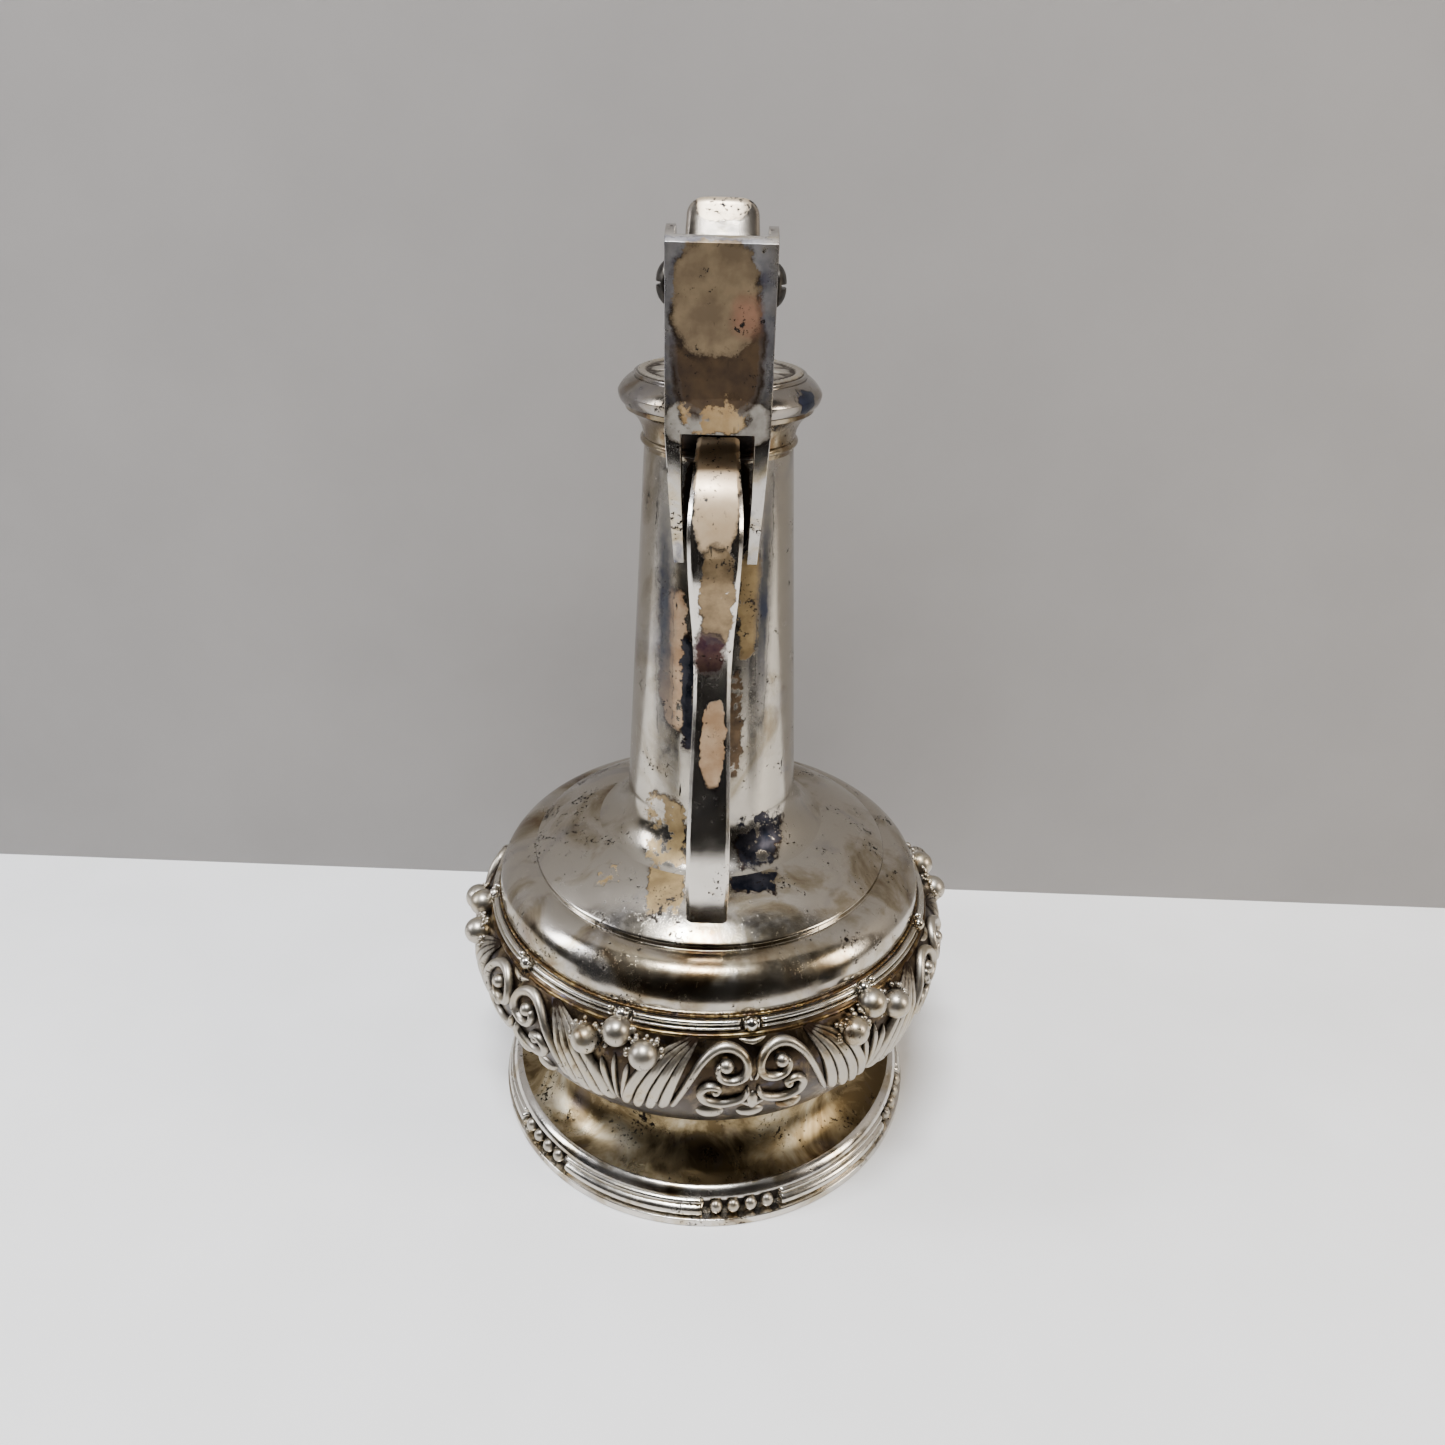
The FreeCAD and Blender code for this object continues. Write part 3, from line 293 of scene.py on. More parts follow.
thumbSilver = silverMaterial("lacqueredSilverThumbPiece", film=0.4, filmSize=9.0, pits=0.6, bright="a0978a",
                             patches=[
    spot((0.0, -16.0, 243.0), (5.6, 12.0, 4.6), 1.6, ("a5937a", "bfae94"), 0.30),
])
collarSilver = silverMaterial("spunSilverCollar", film=0.75, filmSize=8.0, blueFilm=0.3, pits=0.9,
                              bright="a59b88", warm="857860", patches=[
    # painted shade: the deep shadow in the slots either side of the strap under the plate
    spot((0.0, -20.0, 195.0), (7.8, 9.0, 6.0), 1.0, ("0c0a09", "1c1713"), 0.1, milky=0.0),
])


def turnedMetal(name, colours, roughness, size):
    # small turned fittings: fine lathe rings, grime in patches
    material = newMaterial(name)
    tree = material.node_tree
    grime = patternNodes(tree, size, 5.0, 0.65)
    colour = addNode(tree, "ValToRGB", links={"Fac": grime},
                     ramp=[(0.35, colours[0]), (0.65, colours[1])]).outputs[0]
    rough = spread(tree, grime, 0.3, 0.7, *roughness)
    turning = patternNodes(tree, 0.4, 2.0, 0.5, stretch=(0.1, 1, 1))
    bump = addNode(tree, "Bump", {"Strength": 0.3, "Distance": 0.01 * mm},
                   {"Height": turning}).outputs[0]
    shader = addNode(tree, "BsdfPrincipled", {"Metallic": 1.0},
                     {"Base Color": colour, "Roughness": rough, "Normal": bump})
    addNode(tree, "OutputMaterial", links={"Surface": shader.outputs[0]})
    return material


screwSteel = turnedMetal("agedNickelPlatedSteel", ("1d1a18", "4b4741"), (0.3, 0.55), 2.5)
bushBrass = turnedMetal("turnedBrass", ("8a6a34", "b8934e"), (0.2, 0.4), 3.0)
print("materials ready")


# shared mesh helpers

def arcLine(a, b, rise, steps):
    # points from a to b on an arc that bows rise to the right of the way it runs
    if abs(rise) < 1e-6:
        return [a, b]
    ax, ay = a
    bx, by = b
    dx, dy = bx - ax, by - ay
    length = math.hypot(dx, dy)
    radius = (length * length / 4 + rise * rise) / (2 * rise)
    half = math.asin(max(-1.0, min(1.0, length / 2 / radius)))
    nx, ny = dy / length, -dx / length
    mx, my = (ax + bx) / 2 + nx * (rise - radius), (ay + by) / 2 + ny * (rise - radius)
    points = []
    for i in range(steps + 1):
        t = (2 * i / steps - 1) * half
        points.append((mx + nx * radius * math.cos(t) + dx / length * radius * math.sin(t),
                       my + ny * radius * math.cos(t) + dy / length * radius * math.sin(t)))
    return points


def outlineOf(corners, steps=10):
    # closed outline from (r, z, rise, round): rise bows the side that leaves the corner to the right,
    # round eases the corner itself by about that many millimetres
    points = []
    marks = []
    count = len(corners)
    for i, corner in enumerate(corners):
        nextCorner = corners[(i + 1) % count]
        rise = corner[2] if len(corner) > 2 else 0.0
        line = arcLine(corner[:2], nextCorner[:2], rise, steps)
        marks.append((len(points), corner[3] if len(corner) > 3 else 0.0))
        points += line[:-1]
    rounds = dict(marks)
    total = len(points)
    eased = []
    for i, point in enumerate(points):
        ease = rounds.get(i, 0.0)
        if not ease:
            eased.append(point)
            continue
        before, after = points[i - 1], points[(i + 1) % total]
        back = min(0.45, ease / max(1e-6, math.dist(point, before)))
        ahead = min(0.45, ease / max(1e-6, math.dist(point, after)))
        p = (point[0] + (before[0] - point[0]) * back, point[1] + (before[1] - point[1]) * back)
        q = (point[0] + (after[0] - point[0]) * ahead, point[1] + (after[1] - point[1]) * ahead)
        for k in range(5):
            t = k / 4
            eased.append(tuple((1 - t) ** 2 * p[j] + 2 * t * (1 - t) * point[j] + t * t * q[j] for j in (0,
                1)))
    return eased


def finishPiece(name, bm, material, body, sharp=35.0):
    bmesh.ops.remove_doubles(bm, verts=bm.verts, dist=1e-7)
    bmesh.ops.recalc_face_normals(bm, faces=bm.faces)
    mesh = bpy.data.meshes.new(name)
    bm.to_mesh(mesh)
    bm.free()
    mesh.shade_smooth()
    mesh.set_sharp_from_angle(angle=math.radians(sharp))
    mesh.materials.append(material)
    piece = bpy.data.objects.new(name, mesh)
    bpy.context.scene.collection.objects.link(piece)
    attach(piece, body)
    return piece


def lathe(bm, outline, segments=256):
    # closed outline of (radius, height) in millimetres turned about the vertical axis
    rings = []
    for radius, height in outline:
        if radius < 1e-6:
            rings.append([bm.verts.new((0, 0, height * mm))] * segments)
            continue
        rings.append([bm.verts.new((radius * mm * math.cos(2 * math.pi * k / segments),
                                    radius * mm * math.sin(2 * math.pi * k / segments), height * mm))
                      for k in range(segments)])
    for i, ring in enumerate(rings):
        after = rings[(i + 1) % len(rings)]
        for k in range(segments):
            loop = []
            for vert in (ring[k], ring[(k + 1) % segments], after[(k + 1) % segments], after[k]):
                if vert not in loop:
                    loop.append(vert)
            if len(loop) > 2:
                bm.faces.new(loop)


def turnedPiece(name, corners, material, node, body="pitcher", steps=10):
    bm = bmesh.new()
    lathe(bm, outlineOf(corners, steps))
    piece = finishPiece(name, bm, material, body, 30.0)
    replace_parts(piece, node)
    return piece


def finishedCopy(node, material, body="pitcher", bevel=0.2, segments=2, folds=None,
                 angle=24.0):
    # the node's own shape with its edges eased as a maker would; folds maps an edge test to a wider ease
    source = nodes[node]
    bm = bmesh.new()
    bm.from_mesh(source.data)
    bmesh.ops.remove_doubles(bm, verts=bm.verts, dist=2e-6)
    bmesh.ops.dissolve_limit(bm, angle_limit=math.radians(0.6), verts=bm.verts, edges=bm.edges)
    weights = bm.edges.layers.float.new("bevel_weight_edge")
    widest = max([bevel] + [width for test, width in (folds or [])])
    for edge in bm.edges:
        if len(edge.link_faces) == 2 and edge.calc_face_angle(0.0) > math.radians(angle):
            width = bevel
            for test, foldWidth in folds or []:
                if test(edge):
                    width = foldWidth
            edge[weights] = width / widest
    piece = finishPiece(node + "Finished", bm, material, body, 35.0)
    ease = piece.modifiers.new("ease", "BEVEL")
    ease.limit_method = "WEIGHT"
    ease.width = widest * mm
    ease.segments = segments
    ease.harden_normals = True
    ease.use_clamp_overlap = True
    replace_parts(piece, node)
    return piece


# stage, light and camera

room = {
    "tableEdge": 92.0,        # mm from the axis to where the table meets the wall
    "tableTilt": 1.0,         # degrees that the wall's foot runs off square
    "reach": 1500.0,
    "tableHalf": 2500,
    "wallHeight": 1600,
    "table": ("f1efec", "eceae6"),
    "wall": ("8f8b87", "8b8783"),
}
cameraPlace = {
    "at": (2.55, -250.0, 251.25),
    "down": 28.0,
    "roll": 1.56,
    "lens": 27.03,
}


def flatSheet(name, corners, material):
    mesh = bpy.data.meshes.new(name)
    mesh.from_pydata([Vector(c) * mm for c in corners], [], [range(len(corners))])
    mesh.materials.append(material)
    sheet = bpy.data.objects.new(name, mesh)
    bpy.context.scene.collection.objects.link(sheet)
    return sheet


def paintMaterial(name, colour, roughness, oneSided=False):
    material = newMaterial(name)
    tree = material.node_tree
    grain = patternNodes(tree, 40.0, 3.0, 0.5)
    mixed = addNode(tree, "ValToRGB", links={"Fac": grain},
                    ramp=[(0.3, colour[0]), (0.7, colour[1])])
    shader = addNode(tree, "BsdfPrincipled", {"Roughness": roughness},
                     {"Base Color": mixed.outputs[0]})
    surface = shader.outputs[0]
    if oneSided:
        side = addNode(tree, "NewGeometry")
        clear = addNode(tree, "BsdfTransparent")
        mix = addNode(tree, "MixShader", links={0: side.outputs["Backfacing"], 1: surface,
            2: clear.outputs[0]})
        surface = mix.outputs[0]
    addNode(tree, "OutputMaterial", links={"Surface": surface})
    return material


def buildStage():
    tilt = math.tan(math.radians(room["tableTilt"]))
    edge, reach, half, top = (room[key] for key in ("tableEdge", "reach", "tableHalf", "wallHeight"))
    left, right = (-reach, edge + reach * tilt), (reach, edge - reach * tilt)
    flatSheet("tableTop", [(-half, -half, 0), (half, -half, 0), (half, half, 0), (-half, half, 0)],
              paintMaterial("whiteLaminate", room["table"], 0.45))
    flatSheet("wallSheet", [left + (0,), right + (0,), right + (top,), left + (top,)],
              paintMaterial("greyEmulsion", room["wall"], 0.8, oneSided=True))


def areaLamp(name, at, towards, wide, high, power, colour="ffffff"):
    data = bpy.data.lights.new(name, "AREA")
    data.shape = "RECTANGLE"
    data.size = wide * mm
    data.size_y = high * mm
    data.energy = power
    data.color = hexColour(colour)[:3]
    lamp = bpy.data.objects.new(name, data)
    lamp.location = Vector(at) * mm
    lamp.rotation_euler = (Vector(towards) * mm - lamp.location).to_track_quat("-Z", "Y").to_euler()
    bpy.context.scene.collection.objects.link(lamp)
    return lamp


def darkCard(name, corners, colour="14110f"):
    card = flatSheet(name, corners, paintMaterial(name + "Cloth", (colour, colour), 0.9))
    card.visible_camera = False
    card.visible_shadow = False
    card.visible_diffuse = False
    return card


def buildLight():
    world = bpy.data.worlds.new("room")
    bpy.context.scene.world = world
    world.use_nodes = True
    tree = world.node_tree
    tree.nodes.clear()
    place = addNode(tree, "TexCoord")
    split = addNode(tree, "SeparateXYZ", links={"Vector": place.outputs["Generated"]})
    shade = addNode(tree, "ValToRGB", links={"Fac": split.outputs["Z"]},
                    ramp=[(0.0, "2e2a27"), (0.3, "3f3b38"), (1.0, "6e6e70")])
    sky = addNode(tree, "Background", {"Strength": 0.8}, {"Color": shade.outputs[0]})
    addNode(tree, "OutputWorld", links={"Surface": sky.outputs[0]})
    areaLamp("ceilingPanel", (-100, -350, 1400), (0, 0, 60), 420, 200, 36.0, "f4f8ff")
    areaLamp("leftWindow", (-1000, -150, 700), (0, 0, 90), 220, 500, 9.0, "f2f5ff")
    areaLamp("rightWindow", (1000, -300, 600), (0, 0, 90), 200, 500, 8.0, "fff4e6")
    darkCard("observer", [(-260, -262, -2), (300, -262, -2), (300, -262, 235), (-260, -262, 235)], "2d2926")
    darkCard("observerSleeve", [(-70, -150, 62), (95, -150, 62), (95, -150, 175), (-70, -150, 175)])
    darkCard("leftCase", [(-215, -135, -2), (-150, -170, -2), (-150, -170, 190), (-215, -135, 190)], "10141f")
    darkCard("rightCase", [(230, -120, -2), (185, -165, -2), (185, -165, 210), (230, -120, 210)], "10141f")


def buildCamera():
    data = bpy.data.cameras.new("viewer")
    data.lens = cameraPlace["lens"]
    data.sensor_width = 36.0
    data.clip_start = 0.01
    viewer = bpy.data.objects.new("viewer", data)
    viewer.location = Vector(cameraPlace["at"]) * mm
    viewer.rotation_mode = "XYZ"
    pitch = Matrix.Rotation(math.radians(90.0 - cameraPlace["down"]), 4, "X")
    roll = Matrix.Rotation(math.radians(cameraPlace["roll"]), 4, "Z")
    viewer.rotation_euler = (pitch @ roll).to_euler()
    bpy.context.scene.collection.objects.link(viewer)
    bpy.context.scene.camera = viewer


buildStage()
buildLight()
buildCamera()
print("stage, light and camera set")


# turned shells

shellSizes = {
    "footRim": [(52.5, 0, 0, 0.3), (60.3, 0, 0, 0.5), (60.3, 2.5, 0, 0.35), (57.4, 2.5), (57.4, 8.2),
                (58.0, 8.2, 0.4),
                (55.5, 10.5), (52.5, 10.5)],
    "footFlare": [(55.5, 10.5, -3.4), (44.8, 25.0), (43.2, 25.0, 3.4), (53.9, 10.5)],
    "bowl": [(0, 25.0), (44.8, 25.0, 5.1), (64.0, 58.0, 1.2, 0.9), (59.5, 68.0), (57.9, 68.0, -1.2),
             (62.4, 58.0, -5.1),
             (43.2, 26.6), (0, 26.6)],
    "shoulder": [(59.5, 68.0), (57.4, 71.0, 3.0), (49.0, 82.0), (47.5, 82.0, 0, 0.3), (47.5, 83.4, 1.0, 0.6),
                 (30.0, 90.6), (30.0, 89.0, -1.0), (45.9, 80.4), (47.4, 80.4, -3.0), (55.8, 71.0),
                 (57.9, 68.0)],
    "neck": [(30.0, 90.6, -2.3), (22.0, 102.5, 0, 1.5), (17.2, 190.5), (15.8, 190.5), (20.6, 102.5, 2.3),
             (30.0, 89.0)],
    "lid": [(15.2, 200.5), (22.0, 200.5, 0.25, 0.2), (22.9, 202.9, 0.35, 0.35), (19.7, 206.2, 0, 0.1),
            (19.3, 206.2),
            (19.3, 207.0, 0, 0.25), (0, 207.0), (0, 205.6), (15.2, 205.6)],
}

turnedPiece("footRim", shellSizes["footRim"], rimSilver, "foot_rim")
turnedPiece("footFlare", shellSizes["footFlare"], footSilver, "foot_flare", steps=24)
turnedPiece("bowlShell", shellSizes["bowl"], bowlSilver, "bowl", steps=24)
turnedPiece("shoulderShell", shellSizes["shoulder"], shoulderSilver, "shoulder", steps=20)
turnedPiece("neckShell", shellSizes["neck"], neckSilver, "neck", steps=20)
turnedPiece("lidShell", shellSizes["lid"], lidSilver, "lid_cap", body="lid")
print("turned shells made")


# Frieze on the belly. Points are (u, v, h) in mm: along the girth, height, and out from the silver.

girthRadius = 64.0
bellyLine = arcLine((44.8, 25.0), (64.0, 58.0), 5.1, 60)[:-1] + arcLine((64.0, 58.0), (59.5, 68.0), 1.2, 20)


def bellyFrame(v):
    # radius and outward normal of the bowl at height v, eased over the girth
    def radiusAt(z):
        z = max(bellyLine[0][1], min(bellyLine[-1][1], z))
        for (r0, z0), (r1, z1) in zip(bellyLine, bellyLine[1:]):
            if z0 <= z <= z1:
                return r0 + (r1 - r0) * (z - z0) / max(1e-9, z1 - z0)
        return bellyLine[-1][0]
    slope = (radiusAt(v + 1.5) - radiusAt(v - 1.5)) / 3.0
    length = math.hypot(1.0, slope)
    return radiusAt(v), 1.0 / length, -slope / length


tableStart, tableStep, tableRows = 20, 0.25, 220
bellyTable = [bellyFrame(tableStart + tableStep * k) for k in range(tableRows)]


def onBelly(azimuth, u, v, h):
    row = (v - tableStart) / tableStep
    whole = math.floor(row)
    low = bellyTable[max(0, min(tableRows - 2, whole))]
    high = bellyTable[max(1, min(tableRows - 1, whole + 1))]
    radius, outward, upward = (low[i] + (high[i] - low[i]) * (row - whole) for i in range(3))
    angle = math.radians(azimuth) + u / girthRadius
    reach = (radius + h * outward) * mm
    return Vector((reach * math.sin(angle), -reach * math.cos(angle), (v + h * upward) * mm))


def smoothLine(points, perSide=6):
    # a curve through every point (Catmull-Rom)
    line = []
    last = len(points) - 1
    for i in range(last):
        p0, p1, p2, p3 = points[max(0, i - 1)], points[i], points[i + 1], points[min(last, i + 2)]
        for k in range(perSide):
            t = k / perSide
            line.append(tuple(0.5 * (2 * b + (c - a) * t + (2 * a - 5 * b + 4 * c - d) * t * t
                                     + (3 * b - a - 3 * c + d) * t ** 3) for a, b, c,
                                     d in zip(p0, p1, p2, p3)))
    return line + [tuple(points[last])]


class Relief:
    # one mesh of raised ornament, with how far each point stands up kept as "polish" for the finish
    def __init__(self):
        self.bm = bmesh.new()
        self.polish = self.bm.verts.layers.float.new("polish")

    def point(self, place, polish):
        vert = self.bm.verts.new(place)
        vert[self.polish] = polish
        return vert

    def skin(self, rings, closedEnds=True):
        for ring, after in zip(rings, rings[1:]):
            count = len(ring)
            for k in range(count):
                self.bm.faces.new((ring[k], ring[(k + 1) % count], after[(k + 1) % count], after[k]))
        if closedEnds:
            self.bm.faces.new(rings[0])
            self.bm.faces.new(rings[-1])

    def strand(self, azimuth, points, widths, height, sink=0.35, around=9):
        # a half-round strand along (u, v) points whose half width runs through widths
        line = smoothLine(points)
        count = len(line)
        rings = []
        for i, (u, v) in enumerate(line):
            before, after = line[max(0, i - 1)], line[min(count - 1, i + 1)]
            du, dv = after[0] - before[0], after[1] - before[1]
            length = math.hypot(du, dv) or 1.0
            nu, nv = -dv / length, du / length
            where = i / (count - 1) * (len(widths) - 1)
            step = min(len(widths) - 2, int(where))
            width = widths[step] + (widths[step + 1] - widths[step]) * (where - step)
            cap = min(1.0, 0.25 + min(i, count - 1 - i) * 0.3)
            ring = []
            for k in range(around):
                angle = math.pi * k / (around - 1)
                side, up = math.cos(angle), math.sin(angle) ** 0.8
                ring.append(self.point(onBelly(azimuth, u + nu * width * side * cap,
                                               v + nv * width * side * cap,
                                               height * up * cap * min(1.0, 0.45 + 0.55 * width)), up * cap))
            for side in (-1, 1):
                ring.append(self.point(onBelly(azimuth, u + nu * width * side * cap * 0.9,
                                               v + nv * width * side * cap * 0.9, -sink), 0.0))
            rings.append(ring)
        self.skin(rings)

    def ball(self, place, radius, squash=(1, 1, 1), turn=0.0, rows=12, columns=20, polish=1.0):
        # a closed ball, squashed along (girth, out, up) and turned to face azimuth turn
        c, s = math.cos(turn), math.sin(turn)
        poles = []
        rings = []
        for i in range(rows + 1):
            polar = math.pi * i / rows
            spots = 1 if i in (0, rows) else columns
            ring = []
            for k in range(spots):
                around = 2 * math.pi * k / columns
                x = radius * squash[0] * math.sin(polar) * math.cos(around)
                y = radius * squash[1] * math.sin(polar) * math.sin(around)
                z = radius * squash[2] * math.cos(polar)
                ring.append(self.point(place + Vector((x * c - y * s, x * s + y * c, z)) * mm, polish))
            (poles if spots == 1 else rings).append(ring)
        self.skin(rings, False)
        for pole, ring in ((poles[0][0], rings[0]), (poles[1][0], rings[-1])):
            for k in range(columns):
                self.bm.faces.new((pole, ring[k], ring[(k + 1) % columns]))

    def leaf(self, azimuth, side, inner, outer, lobes, rows=34, columns=44):
        # a ribbed leaf between two edge curves: top skin, thin rim and a base let into the bowl
        innerLine, outerLine = smoothLine(inner, 12), smoothLine(outer, 12)

        def edgeAt(line, s):
            where = s * (len(line) - 1)
            i = min(len(line) - 2, int(where))
            return [line[i][j] + (line[i + 1][j] - line[i][j]) * (where - i) for j in (0, 1)]
        top, base = [], []
        for i in range(rows + 1):
            s = i / rows
            topRow, baseRow = [], []
            for j in range(columns + 1):
                t = j / columns
                lobe = (t * lobes) % 1.0 if t < 1.0 else 1.0
                across = abs(2 * lobe - 1)
                reach = s * (1.0 - 0.085 * across ** 2.2) * (1.0 + 0.05 * math.sin(math.pi * t))
                a, b = edgeAt(innerLine, min(1, reach)), edgeAt(outerLine, min(1, reach))
                u, v = a[0] + (b[0] - a[0]) * t, a[1] + (b[1] - a[1]) * t
                rise = min(1.0, s / 0.45) ** 1.4
                rim = min(1.0, (rows - i) / 5.0) ** 0.5 * min(1.0, 0.3 + j / 2.0) * min(1.0,
                    0.3 + (columns - j) / 2.0)
                vein = 0.5 + 0.5 * math.cos(2 * math.pi * (3 * lobe + 0.4 * s))
                ridge = math.sqrt(max(0.0, 1 - across ** 2.6)) * (0.93 + 0.07 * vein)
                height = (0.25 + rise * (0.45 + 1.05 * ridge + 0.4 * math.sin(math.pi * t))) * max(0.12, rim)
                topRow.append(self.point(onBelly(azimuth, side * u, v, height),
                                         rise * (0.1 + 0.9 * ridge ** 2)))
                baseRow.append(self.point(onBelly(azimuth, side * u, v, -0.4), 0.0))
            top.append(topRow)
            base.append(baseRow)
        for i in range(rows):
            for j in range(columns):
                self.bm.faces.new((top[i][j], top[i][j + 1], top[i + 1][j + 1], top[i + 1][j]))
                self.bm.faces.new((base[i][j], base[i + 1][j], base[i + 1][j + 1], base[i][j + 1]))
        rim = [(i, 0) for i in range(rows)] + [(rows, j) for j in range(columns)]
        rim += [(i, columns) for i in range(rows, 0, -1)] + [(0, j) for j in range(columns, 0, -1)]
        for (i, j), (k, l) in zip(rim, rim[1:] + rim[:1]):
            self.bm.faces.new((top[i][j], top[k][l], base[k][l], base[i][j]))


friezeSizes = {
    "scrollAzimuth": 11.0,
    "motifs": 6,
    "upperVolute": [(20, 45.8), (17.2, 52.5), (14.8, 58), (12.2, 62.4), (9, 64.9), (5.5, 65.2), (2.6, 63.6),
                    (1.5, 60.8),
                    (2.4, 58.2), (5, 57.1), (7.6, 57.9), (8.6, 60.2), (7.6, 61.8)],
    "lowerVolute": [(1.3, 54.2), (1.8, 51.6), (4, 49.9), (8, 49.0), (11.6, 50.4), (12.6, 53.2),
                    (10.9, 55.3), (8.4, 54.8),
                    (8.0, 53.2)],
    "leafInner": [(13.2, 66.6), (16.2, 60.6), (18.4, 53.4), (20.3, 45.6)],
    "leafOuter": [(15.0, 67.4), (24.0, 63.2), (30.2, 54.0), (33.4, 43.6)],
    "berryBalls": [(0.0, 66.0), (-7.4, 62.9), (7.4, 62.9)],
    "berryRadius": 3.6,
    "voluteEyes": [((6.6, 61.4, 0.7), 1.75), ((8.9, 53.3, 0.4), 1.15)],
    "scrollStems": [([(0.3, 47.0), (1.6, 48.6), (3.3, 48.9)], [0.9, 0.9, 0.35], 1.3),
                    ([(0.25, 56.2), (1.0, 58.4), (0.7, 62.5)], [0.5, 0.35, 0.3], 1.0)],
    "berrySepals": [([(3.4, 59.0), (2.2, 52.0), (0.7, 44.6)], [0.9, 0.8, 0.3], 1.5),
                    ([(6.6, 58.6), (5.0, 51.0), (2.3, 45.5)], [0.5, 0.9, 0.3], 0.8)],
    "berryStem": ([(0, 61.0), (0, 53.0), (0, 44.0)], [0.7, 0.55, 0.25], 1.9),
    "grains": 70,
}


def scrollMotif(relief, azimuth):
    for side in (-1, 1):
        def mirror(points):
            return [(side * u, v) for u, v in points]
        relief.strand(azimuth, mirror(friezeSizes["upperVolute"]), [0.75, 1.0, 1.15, 1.1, 0.95, 0.75], 1.9)
        relief.strand(azimuth, mirror(friezeSizes["lowerVolute"]), [0.5, 0.95, 1.15, 1.05, 0.9, 0.6], 1.8)
        for (u, v, h), radius in friezeSizes["voluteEyes"]:
            relief.ball(onBelly(azimuth, side * u, v, h), radius, turn=math.radians(azimuth))
        relief.ball(onBelly(azimuth, side * 10.2, 44.4, 0.0), 3.4, (1.0, 0.42, 0.55),
                    math.radians(azimuth + side * 9))
        for points, widths, height in friezeSizes["scrollStems"]:
            relief.strand(azimuth, mirror(points), widths, height)
    relief.ball(onBelly(azimuth, 0, 43.6, 0.0), 3.4, (1.0, 0.42, 0.5), math.radians(azimuth))
    relief.ball(onBelly(azimuth, 0, 49.4, 0.2), 1.9, (0.75, 0.7, 1.5), math.radians(azimuth))
    relief.strand(azimuth, [(-3.4, 66.6), (0, 65.9), (3.4, 66.6)], [0.35, 0.6, 0.35], 0.9)


def berryMotif(relief, azimuth, seeds):
    for u, v in friezeSizes["berryBalls"]:
        relief.ball(onBelly(azimuth, u, v, 1.6), friezeSizes["berryRadius"], turn=math.radians(azimuth),
                    rows=20, columns=32)
    for k in range(friezeSizes["grains"]):
        u0, v0 = friezeSizes["berryBalls"][k % 3]
        angle = seeds.uniform(-0.4, math.pi + 0.4)
        reach = seeds.uniform(3.6, 5.2)
        u, v = u0 + reach * math.cos(angle), v0 + 0.75 * reach * math.sin(angle)
        if v > 67.2:
            continue
        relief.ball(onBelly(azimuth, u, v, seeds.uniform(0.5, 2.2)), seeds.uniform(0.4, 0.75), rows=6,
                    columns=8,
                    polish=0.7)
    for side in (-1, 1):
        for points, widths, height in friezeSizes["berrySepals"]:
            relief.strand(azimuth, [(side * u, v) for u, v in points], widths, height)
    relief.strand(azimuth, *friezeSizes["berryStem"])


def frieze():
    seeds = random.Random(11)
    for k in range(friezeSizes["motifs"]):
        azimuth = friezeSizes["scrollAzimuth"] + 360.0 * k / friezeSizes["motifs"]
        scroll = Relief()
        scrollMotif(scroll, azimuth)
        piece = finishPiece("scrollMotif%d" % (k + 1), scroll.bm, chasedSilver, "pitcher",
                            60)
        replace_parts(piece, "scroll_pair_%d" % (k + 1))
        for side, word in ((-1, "left"), (1, "right")):
            leafRelief = Relief()
            leafRelief.leaf(azimuth, side, friezeSizes["leafInner"], friezeSizes["leafOuter"], 4)
            piece = finishPiece("leaf%s%d" % (word.capitalize(), k + 1), leafRelief.bm, chasedSilver,
                                "pitcher",
                                60)
            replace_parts(piece, "leaf_%s_%d" % (word, k + 1))
        cluster = Relief()
        berryMotif(cluster, azimuth + 180.0 / friezeSizes["motifs"], seeds)
        piece = finishPiece("berryMotif%d" % (k + 1), cluster.bm, chasedSilver, "pitcher",
                            60)
        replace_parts(piece, "berry_cluster_%d" % (k + 1))


frieze()
print("frieze chased")


# Mouldings, swept round the axis from a section of (share along a base line, height off it).

def sweptMoulding(relief, low, high, section, start, end, steps, easeMm=0.0, ripple=None):
    # low and high are the base line's ends as (r, z); section gives the height at shares along it
    dr, dz = high[0] - low[0], high[1] - low[1]
    length = math.hypot(dr, dz)
    outward = (dz / length, -dr / length)
    whole = abs(end - start) >= 359.9
    rings = []
    count = steps if whole else steps + 1
    for i in range(count):
        azimuth = math.radians(start + (end - start) * i / steps)
        ease = 1.0
        if easeMm and not whole:
            run = min(i, steps - i) / steps * math.radians(end - start) * low[0]
            ease = math.sqrt(max(0.06, 1 - max(0.0, 1 - run / easeMm) ** 2))
        if ripple:
            ease *= 1 - ripple[1] * (0.5 + 0.5 * math.cos(ripple[0] * azimuth))
        ring = []
        for share, height in section + [(1.0, -0.25), (0.0, -0.25)]:
            up = height * ease if height > 0 else height
            r = low[0] + dr * share + outward[0] * up
            z = low[1] + dz * share + outward[1] * up
            ring.append(relief.point(Vector((r * math.sin(azimuth), -r * math.cos(azimuth), z)) * mm,
                                     max(0.0, min(1.0, height / 0.6))))
        rings.append(ring)
    if whole:
        rings.append(rings[0])
    relief.skin(rings, not whole)


